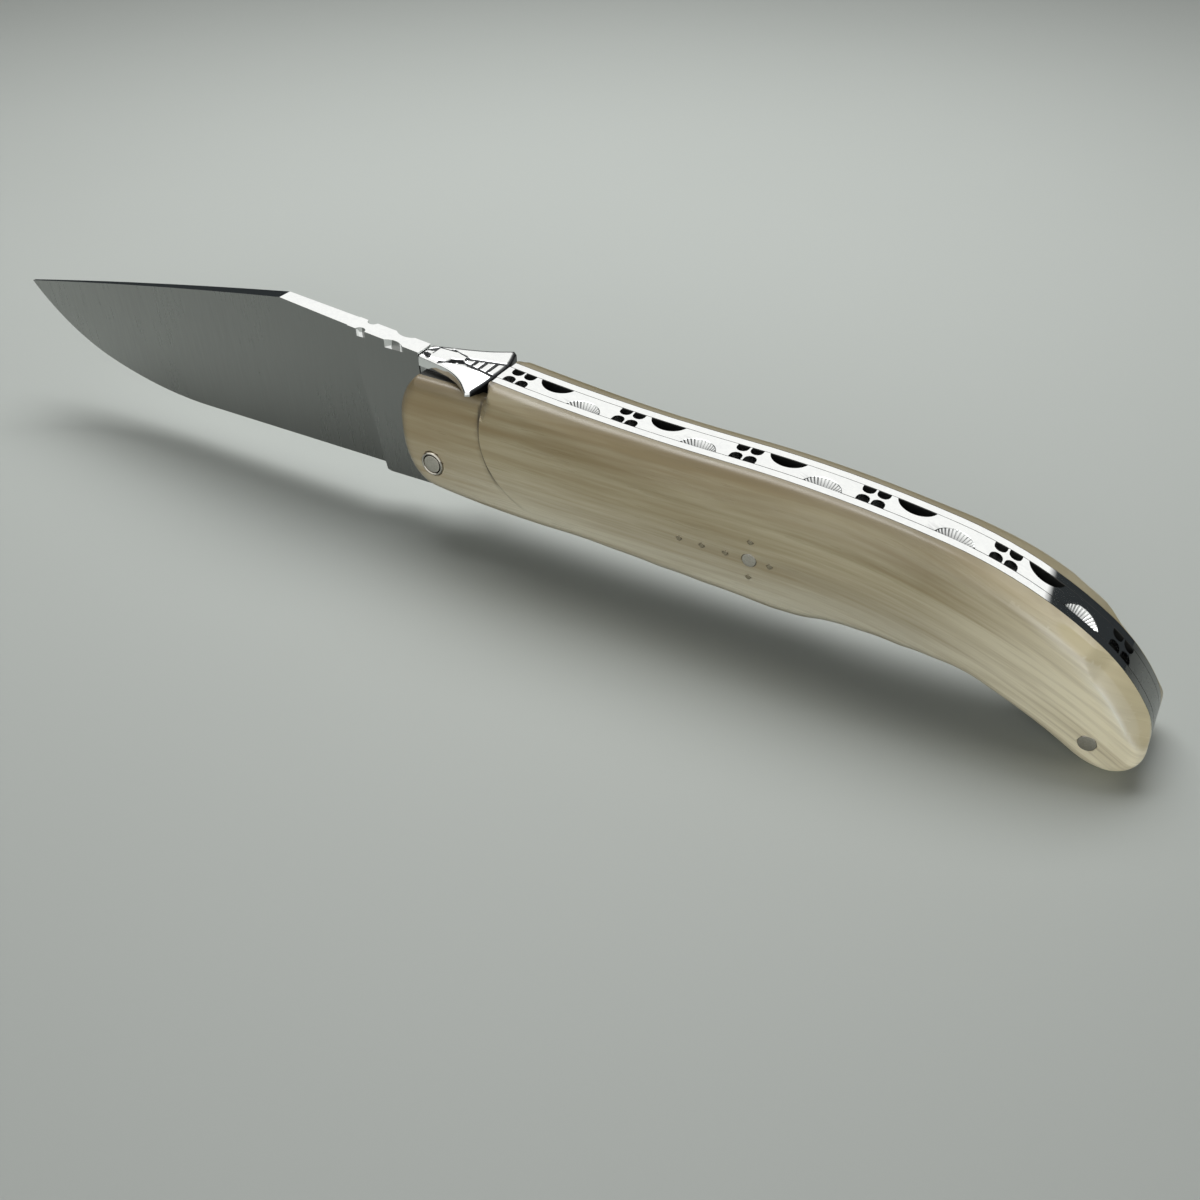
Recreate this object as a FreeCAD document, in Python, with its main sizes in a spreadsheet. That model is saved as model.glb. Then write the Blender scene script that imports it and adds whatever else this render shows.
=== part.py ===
import FreeCAD, Part
import math
import os
import Sketcher

# Folding pocket knife: a slip-joint blade between two steel liners with horn scales.
# Every sketch is drawn about the blade's pivot: X to the butt, Y to the far side, Z to the back.
# The finished pieces are then set down with the butt on the ground and the knife's middle over the origin.

doc = FreeCAD.newDocument("folding_pocket_knife")
sheet = doc.addObject("Spreadsheet::Sheet", "Sizes")

# Driving dimensions, in millimetres, or in degrees where the name ends in angle
dimensions = (
    # clearances and cuts
    ("overrun", 3.0),
    ("seat_gap", 0.02),
    ("running_gap", 0.05),
    ("side_gap", 0.13),
    ("tang_gap", 0.35),
    ("edge_gap", 0.5),
    ("tip_gap", 2.0),
    ("fly_gap", 0.5),
    # handle outline
    ("handle_front", 7.0),
    ("back_height", 16.0),
    ("belly_depth", 5.4),
    ("butt_depth", 15.5),
    ("butt_radius", 4.8),
    ("butt_length", 12.3),
    # handle thicknesses
    ("spring_width", 3.76),
    ("liner_thickness", 1.65),
    ("scale_thickness", 4.3),
    ("camber_radius", 42.0),
    ("camber_height", 4.4),
    ("camber_bend_reach", 60.0),
    ("rim_bevel", 1.3),
    ("front_bevel", 0.6),
    # carving of the scales
    ("carving_depth", 2.6),
    ("carving_angle", 6.3),
    ("carving_step_reach", 10.2),
    ("carving_step_top", 1.7),
    ("carving_step_foot", 3.7),
    ("carving_step_tail", 3.2),
    ("facet_width", 2.4),
    ("facet_lean", 3.7),
    # blade
    ("blade_reach", 99.4),
    ("tip_height", 7.7),
    ("clip_reach", 33.4),
    ("clip_height", 19.2),
    ("spine_crown", 0.35),
    ("tang_height", 16.3),
    ("tang_radius", 8.1),
    ("kick_reach", 13.4),
    ("kick_rise", 0.3),
    ("heel_reach", 14.8),
    ("heel_depth", 8.0),
    ("edge_depth", 8.5),
    ("plunge_reach", 15.7),
    ("plunge_angle", 10.5),
    ("spine_notch_reach", 16.4),
    ("spine_notch_radius", 0.9),
    ("spine_scoop_reach", 9.8),
    ("spine_scoop_radius", 2.6),
    ("spine_scoop_bite", 0.75),
    ("spine_notch_depth", 1.2),
    # back spring
    ("nose_reach", 4.6),
    ("spring_depth", 4.7),
    ("slot_end_depth", 7.0),
    ("slot_ramp_length", 7.4),
    ("slot_ramp_rise", 7.6),
    ("moon_radius", 2.95),
    ("moon_bite", 2.25),
    ("moon_depth", 2.0),
    ("notch_radius", 0.95),
    ("notch_bite", 1.65),
    ("notch_depth", 1.5),
    ("file_work_pitch", 19.2),
    # fly plate
    ("fly_overhang", 0.15),
    ("fly_tail_reach", 9.8),
    ("fly_seat_height", 14.2),
    ("fly_thickness", 1.9),
    ("fly_head_width", 3.8),
    ("fly_tail_width", 4.6),
    ("wing_span", 13.8),
    ("wing_tip_reach", 7.4),
    ("wing_droop", 1.35),
    ("wing_thickness", 1.2),
    ("thorax_length", 6.2),
    ("thorax_width", 3.0),
    ("thorax_rise", 0.45),
    ("thorax_bevel", 0.35),
    ("fly_bevel", 0.3),
    ("engraving_width", 0.3),
    ("engraving_depth", 0.35),
    # pins
    ("pivot_radius", 1.5),
    ("collar_radius", 2.1),
    ("collar_stand", 0.3),
    ("collar_bevel", 0.25),
    ("butt_rivet_radius", 1.25),
    ("butt_rivet_inset", 7.2),
    ("butt_rivet_drop", 10.7),
    ("spring_pin_radius", 0.9),
    ("cross_reach", 56.3),
    ("cross_height", 1.4),
    ("cross_arm", 3.2),
    ("cross_pitch", 3.75),
    ("cross_pin_radius", 0.42),
    ("cross_centre_radius", 1.1),
    ("pin_stand", 0.05),
)


class Size:
    """A length or angle: its present value and the sheet expression that gives it."""

    def __init__(self, value, text):
        self.value = float(value)
        self.text = text

    def __add__(self, other):
        other = sized(other)
        return Size(self.value + other.value, "(%s + %s)" % (self.text, other.text))

    def __sub__(self, other):
        other = sized(other)
        return Size(self.value - other.value, "(%s - %s)" % (self.text, other.text))

    def __mul__(self, other):
        other = sized(other)
        return Size(self.value * other.value, "(%s * %s)" % (self.text, other.text))

    def __truediv__(self, other):
        other = sized(other)
        return Size(self.value / other.value, "(%s / %s)" % (self.text, other.text))

    def __neg__(self):
        return Size(-self.value, "(0 - %s)" % self.text)


def sized(number):
    """A plain number as a Size, and a Size as it is."""
    if isinstance(number, Size):
        return number
    return Size(number, repr(float(number)))


def root(amount):
    return Size(math.sqrt(amount.value), "sqrt(%s)" % amount.text)


def tangent(angle):
    return Size(math.tan(math.radians(angle.value)), "tan(%s)" % angle.text)


def slope_angle(rise, run):
    """The angle of a slope, in degrees."""
    degrees = math.degrees(math.atan2(rise.value, run.value))
    return Size(degrees, "(atan(%s / %s) / 1 deg)" % (rise.text, run.text))


class Named:
    """The sheet's values by name, so that size.blade_reach is a Size."""


size = Named()
for row, (alias, number) in enumerate(dimensions, start=1):
    sheet.set("A%d" % row, alias)
    sheet.set("B%d" % row, str(number))
    sheet.setAlias("B%d" % row, alias)
    setattr(size, alias, Size(number, "Sizes.%s" % alias))
doc.recompute()
nothing = sized(0)

# Places that several pieces share
half_width = size.spring_width / 2
liner_face = half_width + size.liner_thickness
scale_face = liner_face + size.scale_thickness
slot_end = size.blade_reach + size.tip_gap
handle_rear = slot_end + size.butt_length
pivot_x = (size.blade_reach - handle_rear) / 2
pivot_z = size.butt_depth


def bind(thing, path, amount):
    """Tie one property of a document object to the sheet."""
    thing.setExpression(path, sized(amount).text)


def settle(thing):
    """Give a finished piece the knife's common placement."""
    bind(thing, "Placement.Base.x", pivot_x)
    bind(thing, "Placement.Base.z", pivot_z)
    return thing


def add_body(name):
    body = doc.addObject("PartDesign::Body", name)
    body.Label = name
    return body


def plane_of(body, role):
    return [item for item in body.Origin.OriginFeatures if item.Role == role][0]


def add_sketch(body, name, role, shift=None, turn_axis=None, turn=None):
    """A sketch on one of the body's own planes, shifted and turned in that plane's frame."""
    sketch = body.newObject("Sketcher::SketchObject", "%s_%s" % (body.Name, name))
    sketch.AttachmentSupport = [(plane_of(body, role), "")]
    sketch.MapMode = "FlatFace"
    if turn is not None:
        rotation = FreeCAD.Rotation(FreeCAD.Vector(*turn_axis), turn.value)
        sketch.AttachmentOffset = FreeCAD.Placement(FreeCAD.Vector(), rotation)
        bind(sketch, "AttachmentOffset.Rotation.Angle", turn)
    for letter, amount in (shift or {}).items():
        bind(sketch, "AttachmentOffset.Base.%s" % letter, amount)
    return sketch


def pin_down(sketch, index, end, point):
    """Tie a point of a sketch to two sheet expressions."""
    for kind, amount in zip(("DistanceX", "DistanceY"), point):
        number = sketch.addConstraint(Sketcher.Constraint(kind, -1, 1, index, end, amount.value))
        bind(sketch, "Constraints[%d]" % number, amount)


def flat(point):
    return FreeCAD.Vector(point[0].value, point[1].value, 0)


def half_circle_wrap(angle):
    """An angle brought between minus and plus half a turn."""
    return (angle + math.pi) % (2 * math.pi) - math.pi


class Chain:
    """Straight runs and arcs end to end in a sketch, with every joint tied to the sheet."""

    def __init__(self, sketch, start, heading=None):
        self.sketch = sketch
        self.start = start
        self.here = start
        self.heading = heading
        self.runs = []
        self.run_in = False

    def add(self, curve, point, tangent):
        """Keep a run, with the ends at which it is entered and left."""
        index = self.sketch.addGeometry(curve)
        entry = flat(self.here)
        forward = curve.StartPoint.distanceToPoint(entry) < curve.EndPoint.distanceToPoint(entry)
        ends = (1, 2) if forward else (2, 1)
        self.runs.append((index, ends[0], ends[1], self.here, tangent))
        self.here = point

    def direction_to(self, point):
        way = flat(point).sub(flat(self.here))
        return math.atan2(way.y, way.x)

    def line(self, point):
        self.heading = self.direction_to(point)
        self.add(Part.LineSegment(flat(self.here), flat(point)), point, self.run_in)
        self.run_in = False

    def arc_by_turn(self, point, half_turn, tangent):
        """An arc to a point whose chord stands half its turn from its first direction."""
        chord = self.direction_to(point)
        radius = flat(point).distanceToPoint(flat(self.here)) / (2 * math.sin(half_turn))
        begin = chord - half_turn
        inward = FreeCAD.Vector(-math.sin(begin), math.cos(begin), 0)
        middle = flat(self.here).add(inward.multiply(radius))
        ring = Part.Circle(middle, FreeCAD.Vector(0, 0, 1), abs(radius))
        first = begin - math.copysign(math.pi / 2, half_turn)
        self.heading = chord + half_turn
        self.add(Part.ArcOfCircle(ring, *sorted((first, first + 2 * half_turn))), point, tangent)

    def bend(self, point):
        """An arc that carries on smoothly from the run before it."""
        self.arc_by_turn(point, half_circle_wrap(self.direction_to(point) - self.heading), True)

    def bend_into(self, point, after):
        """An arc that runs smoothly into the straight run from its end to the point after."""
        way = flat(after).sub(flat(point))
        self.arc_by_turn(point, half_circle_wrap(math.atan2(way.y, way.x) - self.direction_to(point)), False)
        self.run_in = True

    def arc(self, through, point):
        """An arc through one point to another."""
        first = self.direction_to(through)
        way = flat(point).sub(flat(through))
        self.arc_by_turn(point, half_circle_wrap(math.atan2(way.y, way.x) - first), False)
        marker = self.sketch.addGeometry(Part.Point(flat(through)), True)
        pin_down(self.sketch, marker, 1, through)
        self.sketch.addConstraint(Sketcher.Constraint("PointOnObject", marker, 1, self.runs[-1][0]))

    def tie(self):
        """Join the runs and tie every inner joint to the sheet."""
        for before, after in zip(self.runs, self.runs[1:]):
            kind = "Tangent" if after[4] else "Coincident"
            self.sketch.addConstraint(Sketcher.Constraint(kind, before[0], before[2], after[0], after[1]))
            pin_down(self.sketch, after[0], after[1], after[3])

    def close(self):
        """Bring the chain back to its start."""
        if self.here is not self.start:
            self.line(self.start)
        self.tie()
        first, last = self.runs[0], self.runs[-1]
        self.sketch.addConstraint(Sketcher.Constraint("Coincident", last[0], last[2], first[0], first[1]))
        pin_down(self.sketch, first[0], first[1], self.start)


def close_pair(one, two):
    """Make a loop of two chains that leave one point smoothly both ways and meet again."""
    sketch = one.sketch
    one.tie()
    two.tie()
    first, second = one.runs[0], two.runs[0]
    sketch.addConstraint(Sketcher.Constraint("Tangent", first[0], first[1], second[0], second[1]))
    pin_down(sketch, first[0], first[1], one.start)
    first, second = one.runs[-1], two.runs[-1]
    sketch.addConstraint(Sketcher.Constraint("Coincident", first[0], first[2], second[0], second[2]))
    pin_down(sketch, first[0], first[2], one.here)


def polygon(sketch, points):
    """A closed line of straight runs."""
    chain = Chain(sketch, points[0])
    for point in points[1:]:
        chain.line(point)
    chain.close()


def circle(sketch, point, radius):
    index = sketch.addGeometry(Part.Circle(flat(point), FreeCAD.Vector(0, 0, 1), radius.value))
    pin_down(sketch, index, 3, point)
    number = sketch.addConstraint(Sketcher.Constraint("Radius", index, radius.value))
    bind(sketch, "Constraints[%d]" % number, radius)


small_ring_sides = 16


def small_ring(sketch, point, radius):
    """A ring of short straight runs, for pins as thin as wire."""
    corners = []
    for corner in range(small_ring_sides):
        turn = 2 * math.pi * corner / small_ring_sides
        corners.append((point[0] + radius * math.cos(turn), point[1] + radius * math.sin(turn)))
    polygon(sketch, corners)


def add_feature(body, kind, sketch, length, symmetric, reverse):
    feature = body.newObject("PartDesign::%s" % kind, "%s_%s" % (sketch.Name, kind.lower()))
    feature.Profile = sketch
    feature.SideType = "Symmetric" if symmetric else "One side"
    feature.Reversed = reverse
    if length is None:
        feature.Type = "ThroughAll"
    else:
        bind(feature, "Length", length)
    return feature


def pad(body, sketch, length, symmetric=False, reverse=False):
    feature = add_feature(body, "Pad", sketch, length, symmetric, reverse)
    doc.recompute()
    return feature


def confirm_cut(body, feature, before):
    if not body.Shape.Volume < before:
        raise ValueError("%s takes nothing from %s" % (feature.Name, body.Name))


def pocket(body, sketch, length=None, symmetric=False, reverse=False):
    """A cut that must take something away from the body."""
    before = body.Shape.Volume
    feature = add_feature(body, "Pocket", sketch, length, symmetric, reverse)
    doc.recompute()
    confirm_cut(body, feature, before)
    return feature


def points_of(shares, width, height):
    """Outline points from shares of a width and a height."""
    return [(width * share_x, height * share_z) for share_x, share_z in shares]


# Handle outline, shared by the liners and the scales
back_shares = ((0.985, -0.325), (0.916, 0.153), (0.724, 0.684), (0.440, 0.856))
belly_shares = ((0.920, -0.922), (0.863, -0.697), (0.739, -0.339), (0.590, -0.352),
                (0.512, -0.394), (0.317, -0.348))
front_shares = ((-0.50, -0.225), (-0.93, 0.14), (-0.985, 0.44))
front_top_share = 0.52
quarter_share = 1 - math.sqrt(0.5)
tail_top = (size.fly_tail_reach + size.tang_gap, size.back_height)
seat_level = size.fly_seat_height - size.fly_gap
butt_corner = (handle_rear, size.butt_radius - size.butt_depth)
butt_foot = (handle_rear - size.butt_radius, -size.butt_depth)
butt_middle = (handle_rear - size.butt_radius * quarter_share,
               size.butt_radius * quarter_share - size.butt_depth)
back_points = points_of(back_shares, handle_rear, size.back_height) + [tail_top]
belly_points = points_of(belly_shares, handle_rear, size.butt_depth)
belly_points.append((nothing, -size.belly_depth))
front_points = points_of(front_shares, size.handle_front, size.back_height)
front_top = (-size.handle_front * front_top_share, seat_level)


def draw_handle(sketch):
    """The handle's side outline: from the butt's foot over the back, and along the belly to the front."""
    back = Chain(sketch, butt_foot)
    back.arc(butt_middle, butt_corner)
    for point in back_points:
        back.bend(point)
    back.line((tail_top[0], seat_level))
    back.line(front_top)
    belly = Chain(sketch, butt_foot, math.pi)
    for point in belly_points + front_points + [front_top]:
        belly.bend(point)
    close_pair(back, belly)


def side_sketch(body, name, side, height):
    """A sketch on the side plane, at a height above the knife's middle on the near or far side."""
    return add_sketch(body, name, "XZ_Plane", {"z": height * side})


pivot = (nothing, nothing)
butt_rivet = (handle_rear - size.butt_rivet_inset, -size.butt_rivet_drop)
arm_rear = back_points[2]
arm_middle = back_points[3]
spring_pin = (arm_rear[0], arm_rear[1] - size.spring_depth / 2)


def drill(body, name, side, holes, draw=circle):
    """Holes straight through a liner or a scale."""
    sketch = side_sketch(body, name, side, half_width)
    for point, radius in holes:
        draw(sketch, point, radius + size.seat_gap)
    pocket(body, sketch, symmetric=True)


def make_liner(name, side):
    """A flat steel liner: the handle's outline with holes for the pins."""
    body = add_body(name)
    sketch = side_sketch(body, "outline", side, half_width)
    draw_handle(sketch)
    pad(body, sketch, size.liner_thickness, reverse=side < 0)
    drill(body, "holes", side, ((pivot, size.pivot_radius), (butt_rivet, size.butt_rivet_radius),
                                (spring_pin, size.spring_pin_radius)))
    return settle(body)


liners = [make_liner("near_liner", 1), make_liner("far_liner", -1)]


def lying(face, side):
    """A height on the near side as a Y place: the near side is minus Y."""
    return face * -side


# Camber of the scales: their faces bow out along a line down the handle's middle
camber_end_share = 0.83
camber_start = (-size.handle_front - size.overrun, size.camber_height)
camber_bend = (size.camber_bend_reach, size.camber_height)
camber_end = (handle_rear + size.overrun, -size.butt_depth * camber_end_share)


def camber_drop(rise):
    """How far the bowed face lies below its crown at a distance from the camber line."""
    return size.camber_radius - root(size.camber_radius * size.camber_radius - rise * rise)


def bow_face(body):
    """Shave the scale's flat face to a bowed one with a cut swept down the camber line."""
    path = add_sketch(body, "camber_line", "XZ_Plane")
    line = Chain(path, camber_start)
    line.line(camber_bend)
    line.bend(camber_end)
    line.tie()
    pin_down(path, line.runs[0][0], line.runs[0][1], camber_start)
    pin_down(path, line.runs[-1][0], line.runs[-1][2], camber_end)
    section = add_sketch(body, "camber", "YZ_Plane", {"z": camber_start[0]})
    reach = size.back_height + size.overrun
    low = size.camber_height - reach
    high = size.camber_height + reach
    edge = camber_drop(reach) - scale_face
    outside = -scale_face - size.overrun
    bow = Chain(section, (edge, low))
    bow.arc((-scale_face, size.camber_height), (edge, high))
    bow.line((outside, high))
    bow.line((outside, low))
    bow.close()
    before = body.Shape.Volume
    cut = body.newObject("PartDesign::SubtractivePipe", "%s_bow" % body.Name)
    cut.Profile = section
    cut.Spine = (path, ["Edge1", "Edge2"])
    doc.recompute()
    confirm_cut(body, cut, before)


# How squarely a face must look sideways to count as a wall or as the outer face
wall_look_share = 0.01
face_look_share = 0.85
floor_look_share = 0.98


def sideways_look(face, point):
    """The sideways part of a face's normal at a point."""
    return abs(face.normalAt(*face.Surface.parameter(point)).y)


def rim_edges(shape, look_share):
    """A scale's outer edges between a wall and a face that looks sideways, without the fly's seat."""
    names = []
    for number, edge in enumerate(shape.Edges, start=1):
        middle = edge.valueAt((edge.FirstParameter + edge.LastParameter) / 2)
        looks = sorted(sideways_look(face, middle) for face in shape.ancestorsOfType(edge, Part.Face))
        outer = -middle.y > liner_face.value + size.seat_gap.value
        ahead = middle.x < tail_top[0].value + size.seat_gap.value
        on_seat = ahead and middle.z > seat_level.value - size.seat_gap.value
        if outer and looks[0] < wall_look_share and looks[-1] > look_share and not on_seat:
            names.append("Edge%d" % number)
    return names


def bevel(body, name, edges, width):
    """A bevel on named edges of a body."""
    base = body.Tip
    chamfer = body.newObject("PartDesign::Chamfer", "%s_%s" % (body.Name, name))
    chamfer.Base = (base, edges)
    bind(chamfer, "Size", width)
    doc.recompute()


step_middle_share = 0.33


def carve_front(body):
    """Carve the front of the scale down to a leaning floor, back to a round step behind the fly."""
    floor = scale_face - size.carving_depth
    sketch = add_sketch(body, "carving", "XZ_Plane", {"y": size.back_height, "z": floor},
                        (-1, 0, 0), size.carving_angle)
    front = -size.handle_front - size.overrun
    bottom = -size.back_height - size.butt_depth
    middle = (size.carving_step_reach, -size.back_height * step_middle_share)
    foot = (size.carving_step_reach + size.carving_step_foot, -size.back_height)
    chain = Chain(sketch, (size.carving_step_reach + size.carving_step_top, nothing))
    tail = (foot[0] + size.carving_step_tail, foot[1] - size.carving_step_tail)
    chain.arc(middle, foot)
    chain.line(tail)
    chain.line((tail[0], bottom))
    chain.line((front, bottom))
    chain.line((front, size.overrun))
    chain.line((chain.start[0], size.overrun))
    chain.close()
    pocket(body, sketch, reverse=True)


facet_place_share = 0.385


def carve_butt(body):
    """Cut a long facet along the back of the scale where it turns down to the butt."""
    (rear_x, rear_z), (front_x, front_z) = back_points[:2]
    run, rise = rear_x - front_x, front_z - rear_z
    place = {"y": rear_z + rise * facet_place_share, "z": rear_x - run * facet_place_share}
    angle = slope_angle(rise, run) + size.facet_lean
    sketch = add_sketch(body, "facet", "YZ_Plane", place, (1, 0, 0), angle)
    slope = size.facet_width / size.scale_thickness
    outside = size.scale_thickness + size.overrun
    polygon(sketch, [(-liner_face, nothing), (-liner_face - outside, -slope * outside),
                     (-liner_face - outside, outside), (-liner_face, outside)])
    pocket(body, sketch, symmetric=True)


# Pins of the cross inlaid in the near scale: a long arm to the front and three short ones
cross_centre = (size.cross_reach, size.cross_height)
cross_pins = {
    "cross_pin_front": (size.cross_reach - size.cross_pitch * 3, size.cross_height),
    "cross_pin_second": (size.cross_reach - size.cross_pitch * 2, size.cross_height),
    "cross_pin_third": (size.cross_reach - size.cross_pitch, size.cross_height),
    "cross_pin_top": (size.cross_reach, size.cross_height + size.cross_arm),
    "cross_pin_bottom": (size.cross_reach, size.cross_height - size.cross_arm),
    "cross_pin_rear": (size.cross_reach + size.cross_arm, size.cross_height),
}


def make_scale(name):
    """A horn scale on the near side: bowed, bevelled, carved at the front and the butt, and drilled."""
    body = add_body(name)
    sketch = side_sketch(body, "outline", 1, liner_face)
    draw_handle(sketch)
    pad(body, sketch, size.scale_thickness)
    bow_face(body)
    bevel(body, "rim", rim_edges(body.Shape, face_look_share), size.rim_bevel)
    carve_front(body)
    bevel(body, "front", rim_edges(body.Shape, floor_look_share), size.front_bevel)
    carve_butt(body)
    drill(body, "holes", 1, ((pivot, size.collar_radius), (butt_rivet, size.butt_rivet_radius),
                             (cross_centre, size.cross_centre_radius)))
    return settle(body)


def make_mirrored(name, source):
    """The same piece for the other side of the knife."""
    mirrored = doc.addObject("Part::Mirroring", name)
    mirrored.Label = name
    mirrored.Source = source
    mirrored.Normal = FreeCAD.Vector(0, 1, 0)
    return mirrored


near_scale = make_scale("near_scale")
for name, place in cross_pins.items():
    drill(near_scale, "%s_hole" % name, 1, ((place, size.cross_pin_radius),), small_ring)
scales = [near_scale, make_mirrored("far_scale", make_scale("plain_scale"))]

# Blade: outline, ground faces and the filed edges of its spine
edge_shares = ((0.583, -1.0), (0.825, -0.56))
plunge_shares = (0.074, 0.954)
grind_shares = ((0.336, 0.080, 0.743), (0.604, 0.086, 0.526), (0.855, 0.020, 0.367), (1.016, -0.042, 0.274))
blade_half = half_width - size.side_gap
kick_depth = size.tang_radius + size.kick_rise
tang_back = -(size.nose_reach + size.tang_gap)
tang_shoulder = root(size.tang_radius * size.tang_radius - tang_back * tang_back)
blade_tip = (-size.blade_reach, size.tip_height)
blade_clip = (-size.clip_reach, size.clip_height)
spine_middle = ((blade_tip[0] + blade_clip[0]) / 2,
                (blade_tip[1] + blade_clip[1]) / 2 + size.spine_crown)


def draw_blade(sketch):
    """The blade's side outline: from the tip along the spine to the tang, and back along the edge."""
    chain = Chain(sketch, blade_tip)
    chain.arc(spine_middle, blade_clip)
    chain.line((tang_back, size.tang_height))
    chain.line((tang_back, tang_shoulder))
    chain.arc((size.tang_radius, nothing), (nothing, -size.tang_radius))
    chain.line((-size.kick_reach, -kick_depth))
    chain.line((-size.heel_reach, -size.heel_depth))
    straight_end, belly = points_of(edge_shares, -size.blade_reach, size.edge_depth)
    chain.line(straight_end)
    chain.bend(belly)
    chain.bend(blade_tip)
    chain.close()


def draw_grind(sketch, side, low_share, high_share):
    """What is ground off one face at one station, from below the edge to above the spine."""
    low = -size.edge_depth - size.overrun
    high = size.clip_height + size.overrun
    slope = blade_half * (high_share - low_share) / (size.clip_height + size.edge_depth)
    thin = lying(blade_half * low_share - slope * size.overrun, side)
    thick = lying(blade_half * high_share + slope * size.overrun, side)
    outside = lying(blade_half + size.overrun, side)
    polygon(sketch, [(thin, low), (thick, high), (outside, high), (outside, low)])
    return sketch


def grind(body, side):
    """Grind one face from the leaning plunge line to the tip, thin at the edge and full at the spine."""
    plunge = add_sketch(body, "plunge", "YZ_Plane", {"z": -size.plunge_reach}, (-1, 0, 0), size.plunge_angle)
    stations = [draw_grind(plunge, side, *plunge_shares)]
    for reach_share, low_share, high_share in grind_shares:
        sketch = add_sketch(body, "station", "YZ_Plane", {"z": -size.blade_reach * reach_share})
        stations.append(draw_grind(sketch, side, low_share, high_share))
    before = body.Shape.Volume
    cut = body.newObject("PartDesign::SubtractiveLoft", "%s_grind" % body.Name)
    cut.Profile = stations[0]
    cut.Sections = stations[1:]
    cut.Ruled = True
    doc.recompute()
    confirm_cut(body, cut, before)


def file_spine(body):
    """A pair of small notches and a pair of longer scoops in the edges of the spine before the tang."""
    slope = (size.clip_height - size.tang_height) / (size.clip_reach + tang_back)
    for name, reach, radius, bite in (
            ("notch", size.spine_notch_reach, size.spine_notch_radius, size.spine_notch_radius),
            ("scoop", size.spine_scoop_reach, size.spine_scoop_radius, size.spine_scoop_bite)):
        level = size.tang_height + slope * (reach + tang_back) - size.spine_notch_depth
        sketch = add_sketch(body, "spine_%s" % name, "XY_Plane", {"z": level})
        for side in (1, -1):
            circle(sketch, (-reach, lying(blade_half + radius - bite, side)), radius)
        pocket(body, sketch, reverse=True)


def make_blade(name):
    body = add_body(name)
    sketch = add_sketch(body, "outline", "XZ_Plane")
    draw_blade(sketch)
    pad(body, sketch, blade_half * 2, symmetric=True)
    for side in (1, -1):
        grind(body, side)
    file_spine(body)
    bore = add_sketch(body, "bore", "XZ_Plane")
    circle(bore, pivot, size.pivot_radius + size.running_gap)
    pocket(body, bore, symmetric=True)
    return settle(body)


blade = make_blade("blade")

# Back spring: a nose over the tang, an arm along the back and a block in the butt.
# The filed pattern runs along its back, in units of notch pairs and a half moon in each edge.
slot_floor_share = 0.80
notch_shares = ((1, 0.100), (-1, 0.100), (1, 0.215), (-1, 0.215))
moon_shares = ((-1, 0.46), (1, 0.80))
file_work_units = 5
notch_sides = 6
across = FreeCAD.Vector(0, 1, 0)
nose_under = kick_depth + size.tang_gap


def draw_spring(sketch):
    """The spring's side outline, flush with the liners along the back and round the butt."""
    chain = Chain(sketch, butt_foot)
    chain.arc(butt_middle, butt_corner)
    for point in back_points:
        chain.bend(point)
    chain.line((tail_top[0], size.fly_seat_height))
    chain.line((-size.nose_reach, size.fly_seat_height))
    chain.line((-size.nose_reach, nose_under))
    chain.line((size.kick_reach, nose_under))
    chain.line((arm_middle[0], size.edge_depth + size.edge_gap))
    chain.bend((arm_rear[0], arm_rear[1] - size.spring_depth))
    chain.bend((slot_end - size.slot_ramp_length, size.slot_ramp_rise - size.slot_end_depth))
    chain.line((slot_end, -size.slot_end_depth))
    chain.line((slot_end, -size.butt_depth * slot_floor_share))
    chain.close()
    return chain


def along_back(chain, way):
    """The place and the outward direction a given way along the back, measured from the tail."""
    for run in reversed(chain.runs[1:len(back_points) + 1]):
        edge = chain.sketch.Geometry[run[0]].toShape()
        if way <= edge.Length:
            break
        way -= edge.Length
    from_start = way if run[2] == 1 else edge.Length - way
    parameter = edge.getParameterByLength(from_start)
    spot, lead = edge.valueAt(parameter), edge.tangentAt(parameter)
    out = FreeCAD.Vector(-lead.y, 0, lead.x)
    if out.z < 0:
        out = -out
    return FreeCAD.Vector(spot.x, 0, spot.y), out


def bite_place(chain, side, way, reach, depth):
    """The foot and the direction of a cutter that stands square to the back, off its near or far edge."""
    spot, out = along_back(chain, way.value)
    sideways = FreeCAD.Vector(0, lying(half_width + reach, side).value, 0)
    return spot + sideways - out * depth.value, out


def notch_cutter(foot, out, side):
    """A cutter for one of the small notches: round towards the middle, straight out to the spring's edge."""
    along = out.cross(across)
    outward = FreeCAD.Vector(0, lying(size.notch_bite, side).value, 0)
    inward = across * -math.copysign(1, outward.y)
    corners = [foot + outward - along * size.notch_radius.value, foot + outward + along * size.notch_radius.value]
    for corner in range(notch_sides + 1):
        turn = math.pi * corner / notch_sides
        spoke = along * math.cos(turn) + inward * math.sin(turn)
        corners.append(foot + spoke * size.notch_radius.value)
    section = Part.Face(Part.makePolygon(corners + corners[:1]))
    return section.extrude(out * (size.notch_depth + size.overrun).value)


def moon_cutter(foot, out):
    """A round cutter for one of the half moons."""
    return Part.makeCylinder(size.moon_radius.value, (size.moon_depth + size.overrun).value, foot, out)


def file_work(chain):
    """Every cutter of the filed pattern, ending with one more set of notches."""
    cutters = []
    for unit in range(file_work_units + 1):
        for side, share in notch_shares:
            place = bite_place(chain, side, size.file_work_pitch * (unit + share),
                               size.notch_radius - size.notch_bite, size.notch_depth)
            cutters.append(notch_cutter(*place, side))
    for unit in range(file_work_units):
        for side, share in moon_shares:
            place = bite_place(chain, side, size.file_work_pitch * (unit + share),
                               size.moon_radius - size.moon_bite, size.moon_depth)
            cutters.append(moon_cutter(*place))
    return Part.makeCompound(cutters)


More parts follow.
